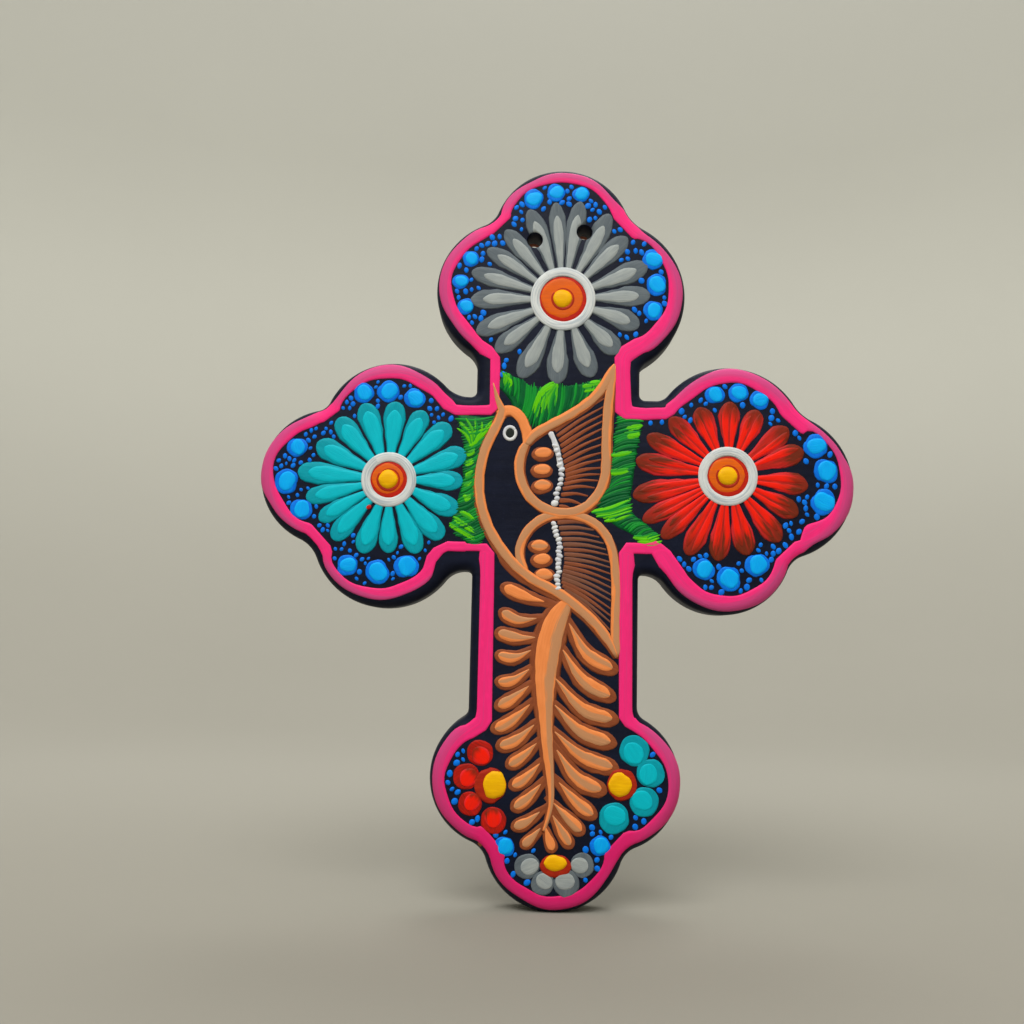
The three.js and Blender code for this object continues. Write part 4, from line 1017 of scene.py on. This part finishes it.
def make_bird_marks():
    """Beads and ovals in the wings, and the eye"""
    for key, marks, count in (("upper", UPPER_BEADS, 13), ("lower", LOWER_BEADS, 17)):
        beads = []
        if key == "upper":
            beads.append(stroke(BEAD_STROKE, 0.78, EVEN, rise=0.3, rings=30, wobble=0.1, edge=0.7,
                                shade=0.1))
        for k in range(count):
            x, y = along_marks(marks, k / (count - 1))
            last = key == "upper" and k == count - 1
            beads.append(blob(x + vary(-0.3, 0.3), y, vary(0.72, 0.95) + 0.25 * last,
                              vary(0.6, 0.78) + 0.3 * last, vary(-0.6, 0.6), rise=0.5, low=0.03,
                              lift=0.02 * (k % 3), edge=0.8, shade=vary(0.5, 1)))
        lay_paint(f"{key}_wing_beads", beads, "bead")
    for name, (x, y) in OVALS.items():
        under = blob(x - 0.15, y - 0.35, 3.05, 2.15, vary(-0.1, 0.2), rise=0.18, rings=13)
        over = blob(x, y + 0.1, 2.3, 1.5, vary(-0.1, 0.2), low=0.08, rise=0.23, rings=13,
                    shade=vary(0.05, 0.3))
        lay_paint(f"{name}_under", [under], "brown", None)
        lay_paint(name, [over], "orange")
    x, y = EYE
    around = round_marks(x, y, 1.55, 1.75, np.linspace(0.5, 0.5 + math.tau * 1.03, 17))
    lay_paint("bird_eye_ring", [stroke(around, 0.46, EVEN, rise=0.3, rings=48, edge=0.5)], "bead", sides=10)
    lay_paint("bird_pupil", [blob(x, y + 0.1, 1.35, 1.25, math.pi / 2, rise=0.15)], "pupil", None)


def make_tail():
    """Feathers to the left, one down the middle, feathers to the right, and the plume over their roots"""
    brown, orange = [], []
    for k, (root, middle, tip) in enumerate(FEATHERS):
        right = k > MIDDLE_FEATHER
        half = min(2.8 if right else 2.4, 0.9 + math.dist(root, tip) * 0.12)
        reach = 0.1 if k == MIDDLE_FEATHER else 0.5
        start = (root[0] + reach * (root[0] - middle[0]), root[1] + reach * (root[1] - middle[1]))
        brown.append(stroke([start, root, middle, tip], half, FEATHER, rise=0.17, rings=18,
                            lift=0.012 * (k % 3)))
        inner = shifted(resampled([root, middle, tip], 12)[0 if right else 1:11], 0, 0.25 if right else 0.1)
        wet = 0.0 if k in (0, MIDDLE_FEATHER) else 0.35 if k in (4, 9, 14) else vary(0.3, 1.0)
        orange.append(stroke(inner, half * 0.66, QUILL, low=0.07, rise=0.22, rings=18, shade=wet))
    broadest = max(PLUME_HALF)
    profile = [(k / (len(PLUME_HALF) - 1), half / broadest) for k, half in enumerate(PLUME_HALF)]
    brown.append(stroke(shifted(PLUME, -0.25, -0.3), broadest + 1.3, profile, rise=0.17, rings=40, lift=0.03,
                        wobble=0.02))
    orange.append(stroke(PLUME, broadest, profile, low=0.07, rise=0.24, rings=80, wobble=0.02))
    lay_paint("tail_brown", brown, "brown", "tail_brown_feathers")
    lay_paint("tail_orange", orange, "orange", "tail_orange_feathers")


def make_blossoms():
    for key, petal, over in (("red", "blossom_red", "scarlet"), ("teal", "teal", "light_teal"),
                             ("grey", "grey", "light_grey")):
        blossom = BLOSSOMS[key]
        cx, cy = blossom["heart"][:2]
        under, dabs = [], []
        for k, (x, y, r) in enumerate(blossom["petals"]):
            under.append(blob(x, y, r, r * 0.97, vary(0, 3), rise=0.22, rings=19, lift=0.01 * k,
                              wobble=0.025))
            away = math.hypot(cx - x, cy - y)
            dx, dy = (cx - x) / away * 0.7, (cy - y) / away * 0.7
            dabs.append(blob(x + dx, y + dy, r * 0.72, r * 0.66, vary(0, 3), low=0.1, rise=0.23, rings=17,
                             shade=0.1, wobble=0.03))
        lay_paint(f"{key}_blossom_petals", under, petal, sides=20)
        lay_paint(f"{key}_blossom_dabs", dabs, over, None, sides=18)
        heart = blob(*blossom["heart"], low=0.04, rise=0.3, rings=17, wobble=0.03)
        lay_paint(f"{key}_blossom_heart", [heart], "maroon", sides=16)
        eye = blob(*blossom["eye"], low=0.14, rise=0.55, rings=15, edge=1.1)
        lay_paint(f"{key}_blossom_eye", [eye], "yellow", sides=16)


# Blue dots
def free_spots(petal_places, inner_edge):
    """Places for small dots along the border, clear of the big dots, petals, blossoms and feathers"""
    taken = [(x, y, r * 1.07 + 0.55) for dots in BIG_DOTS.values() for x, y, r in dots]
    for marks, half in petal_places:
        for share in (0.3, 0.45, 0.6, 0.72, 0.84, 0.93):
            taken.append((*along_marks(marks, share), half * np.interp(share, *zip(*PETAL)) + 0.6))
    for blossom in BLOSSOMS.values():
        taken += [(x, y, r + 0.6) for x, y, r in blossom["petals"]] + [(*blossom["heart"][:2], 4.8)]
    for marks in FEATHERS:
        taken += [(*along_marks(marks, share), 2.9) for share in (0.3, 0.6, 0.9)]
    spots = list(SINGLE_DOTS)
    taken = np.array(taken + [(x, y, 1.5) for x, y in spots])
    cores = [(DAISIES["top"]["at"], 18), (DAISIES["left"]["at"], 16.5), (DAISIES["right"]["at"], 16.5)]
    cores += [(hole, 3.4) for hole in HOLES]
    tried = np.array([(vary(-80, 80), vary(-111, 88)) for _ in range(60000)])
    tried = tried[(np.hypot(tried[:, 0], tried[:, 1] + 4) > 36) & within(tried, inner_edge)]
    from_border = edge_distance(tried, inner_edge)
    for x, y in tried[(from_border > 0.7) & (from_border < 7.8)]:
        painted_over = abs(x - 1) < 15 and 20 < y < 36 or y < -30 and (y > -66 or abs(x) < 19 and y > -90)
        if painted_over or min(math.hypot(x - a, y - b) - r for (a, b), r in cores) < 0:
            continue
        if (np.hypot(taken[:, 0] - x, taken[:, 1] - y) > taken[:, 2]).all():
            spots.append((x, y))
            taken = np.vstack([taken, (x, y, 1.36 if x < -30 else 1.6)])
    return spots


def make_dots(petal_places, inner_edge):
    small = {name: [] for name in BIG_DOTS}
    for x, y in free_spots(petal_places, inner_edge):
        nearest = min(small, key=lambda n: min(math.hypot(x - a, y - b) for a, b, _ in BIG_DOTS[n]))
        size = vary(0.52, 0.8) if x < -30 else vary(0.64, 0.98)
        small[nearest].append(blob(x, y, size, size * vary(0.76, 0.98), vary(0.6, 2.5), rise=0.22, rings=7,
                                   edge=0.6))
    dab = dict(rings=13, edge=0.8, wobble=0.07)
    for name, dots in BIG_DOTS.items():
        under = [blob(x, y, r * 1.07, r * vary(0.94, 1.06), vary(0, 3), rise=0.24, **dab)
                 for x, y, r in dots]
        over = [blob(x + 0.2, y + 0.1, r * 0.82, r * vary(0.7, 0.8), vary(0, 3), low=0.11, rise=0.26, **dab)
                for x, y, r in dots]
        lay_paint(name, under, "blue", sides=14)
        lay_paint(f"{name}_light", over, "sky", None, sides=14)
        if small[name]:
            lay_paint(f"{name}_small", small[name], "blue", None, sides=8)


# The studio
def make_stage():
    """A pale floor that sweeps up into a round wall, far enough off for every view, with painted shade:
    darker on the floor, darker still towards the front, a little darker high on the wall
    """
    bpy.ops.object.select_all(action="DESELECT")
    bpy.ops.mesh.primitive_circle_add(vertices=96, radius=STAGE_RADIUS, fill_type="NGON",
                                      location=(0, 0, FLOOR_HEIGHT))
    stage = bpy.context.object
    stage.name = "studio_sweep"
    bpy.ops.object.transform_apply(location=True)
    with edit_mode(stage):
        bpy.ops.mesh.extrude_region_move(TRANSFORM_OT_translate={"value": (0, 0, STAGE_WALL)})
    made = bmesh.new()
    made.from_mesh(stage.data)
    top = [face for face in made.faces if len(face.verts) > 4 and face.calc_center_median().z > 1]
    bmesh.ops.delete(made, geom=top, context="FACES_ONLY")
    rim = [edge for edge in made.edges if all(abs(v.co.z - FLOOR_HEIGHT) < 1e-4 for v in edge.verts)]
    bmesh.ops.bevel(made, geom=rim, offset=0.8, segments=16, profile=0.5, affect="EDGES")
    bmesh.ops.recalc_face_normals(made, faces=made.faces)
    made.to_mesh(stage.data)
    made.free()
    select_only(stage)
    bpy.ops.object.shade_smooth()
    finish = Finish("studio_paper", Roughness=0.9, Specular_IOR_Level=0.1)
    place = finish.place()
    _, depth, height = finish.axes(place)
    cloud = finish.noise(place, 3, 2)
    pale = finish.mix(cloud, (187, 186, 176), (193, 192, 182))
    # Painted shade: the wall is coloured a little darker towards its top
    pale = finish.mix(finish.band(height, 0.3, 1.0), pale, (181, 180, 171))
    # Painted shade: the floor is coloured darker than the wall, and darker still towards the front
    shaded = finish.mix(cloud, (158, 155, 145), (163, 160, 150))
    near = 1.0 - finish.band(depth, -0.1, 0.3)
    shaded = finish.mix(near * 0.58, shaded, (128, 124, 113))
    finish.feed("Base Color", finish.mix(finish.band(height, -0.21, 0.38), shaded, pale))
    stage.data.materials.append(finish.material)


def soft_box(name, place, watts):
    """A round light just under a metre across, turned to the cross"""
    light = bpy.data.lights.new(name, "AREA")
    light.shape, light.size, light.energy = "DISK", 0.9, watts
    holder = bpy.data.objects.new(name, light)
    bpy.context.scene.collection.objects.link(holder)
    way = Vector((0, 0, -0.07)) - Vector(place)
    holder.matrix_world = Matrix.Translation(place) @ way.to_track_quat("-Z", "Y").to_matrix().to_4x4()


def make_camera():
    """The photograph's view: from a little below the crossing, tipped up"""
    lens = bpy.data.cameras.new("photo_view")
    lens.sensor_width, lens.sensor_fit = 36, "HORIZONTAL"
    lens.angle = math.radians(PHOTO_LENS_ANGLE)
    lens.clip_start, lens.clip_end = 0.01, 20
    camera = bpy.data.objects.new("photo_view", lens)
    bpy.context.scene.collection.objects.link(camera)
    camera.matrix_world = (Matrix.Translation((-0.012, -0.2915, -0.1105))
                           @ Matrix.Rotation(math.radians(96.7), 4, "X")
                           @ Matrix.Rotation(math.radians(1.25), 4, "Z"))
    bpy.context.scene.camera = camera


make_camera()
make_slab()
border_inner = make_border()
petal_places = (make_daisy("top", "grey", "light_grey") + make_daisy("left", "teal", "light_teal")
                + make_daisy("right", "red", "scarlet"))
for patch_name, patch in LEAVES.items():
    make_leaves(patch_name, **patch)
make_bird_lines()
make_bird_marks()
make_tail()
make_blossoms()
make_dots(petal_places, border_inner)
make_stage()

soft_box("soft_box_above", (-0.15, -0.75, 0.85), 11)
soft_box("soft_box_behind", (0.2, 0.95, 1.7), 8)
world = bpy.context.scene.world or bpy.data.worlds.new("studio")
bpy.context.scene.world = world
world.use_nodes = True
world.node_tree.nodes["Background"].inputs["Color"].default_value = (1, 0.99, 0.96, 1)
world.node_tree.nodes["Background"].inputs["Strength"].default_value = 1.1
bpy.context.scene.view_settings.view_transform = "Standard"
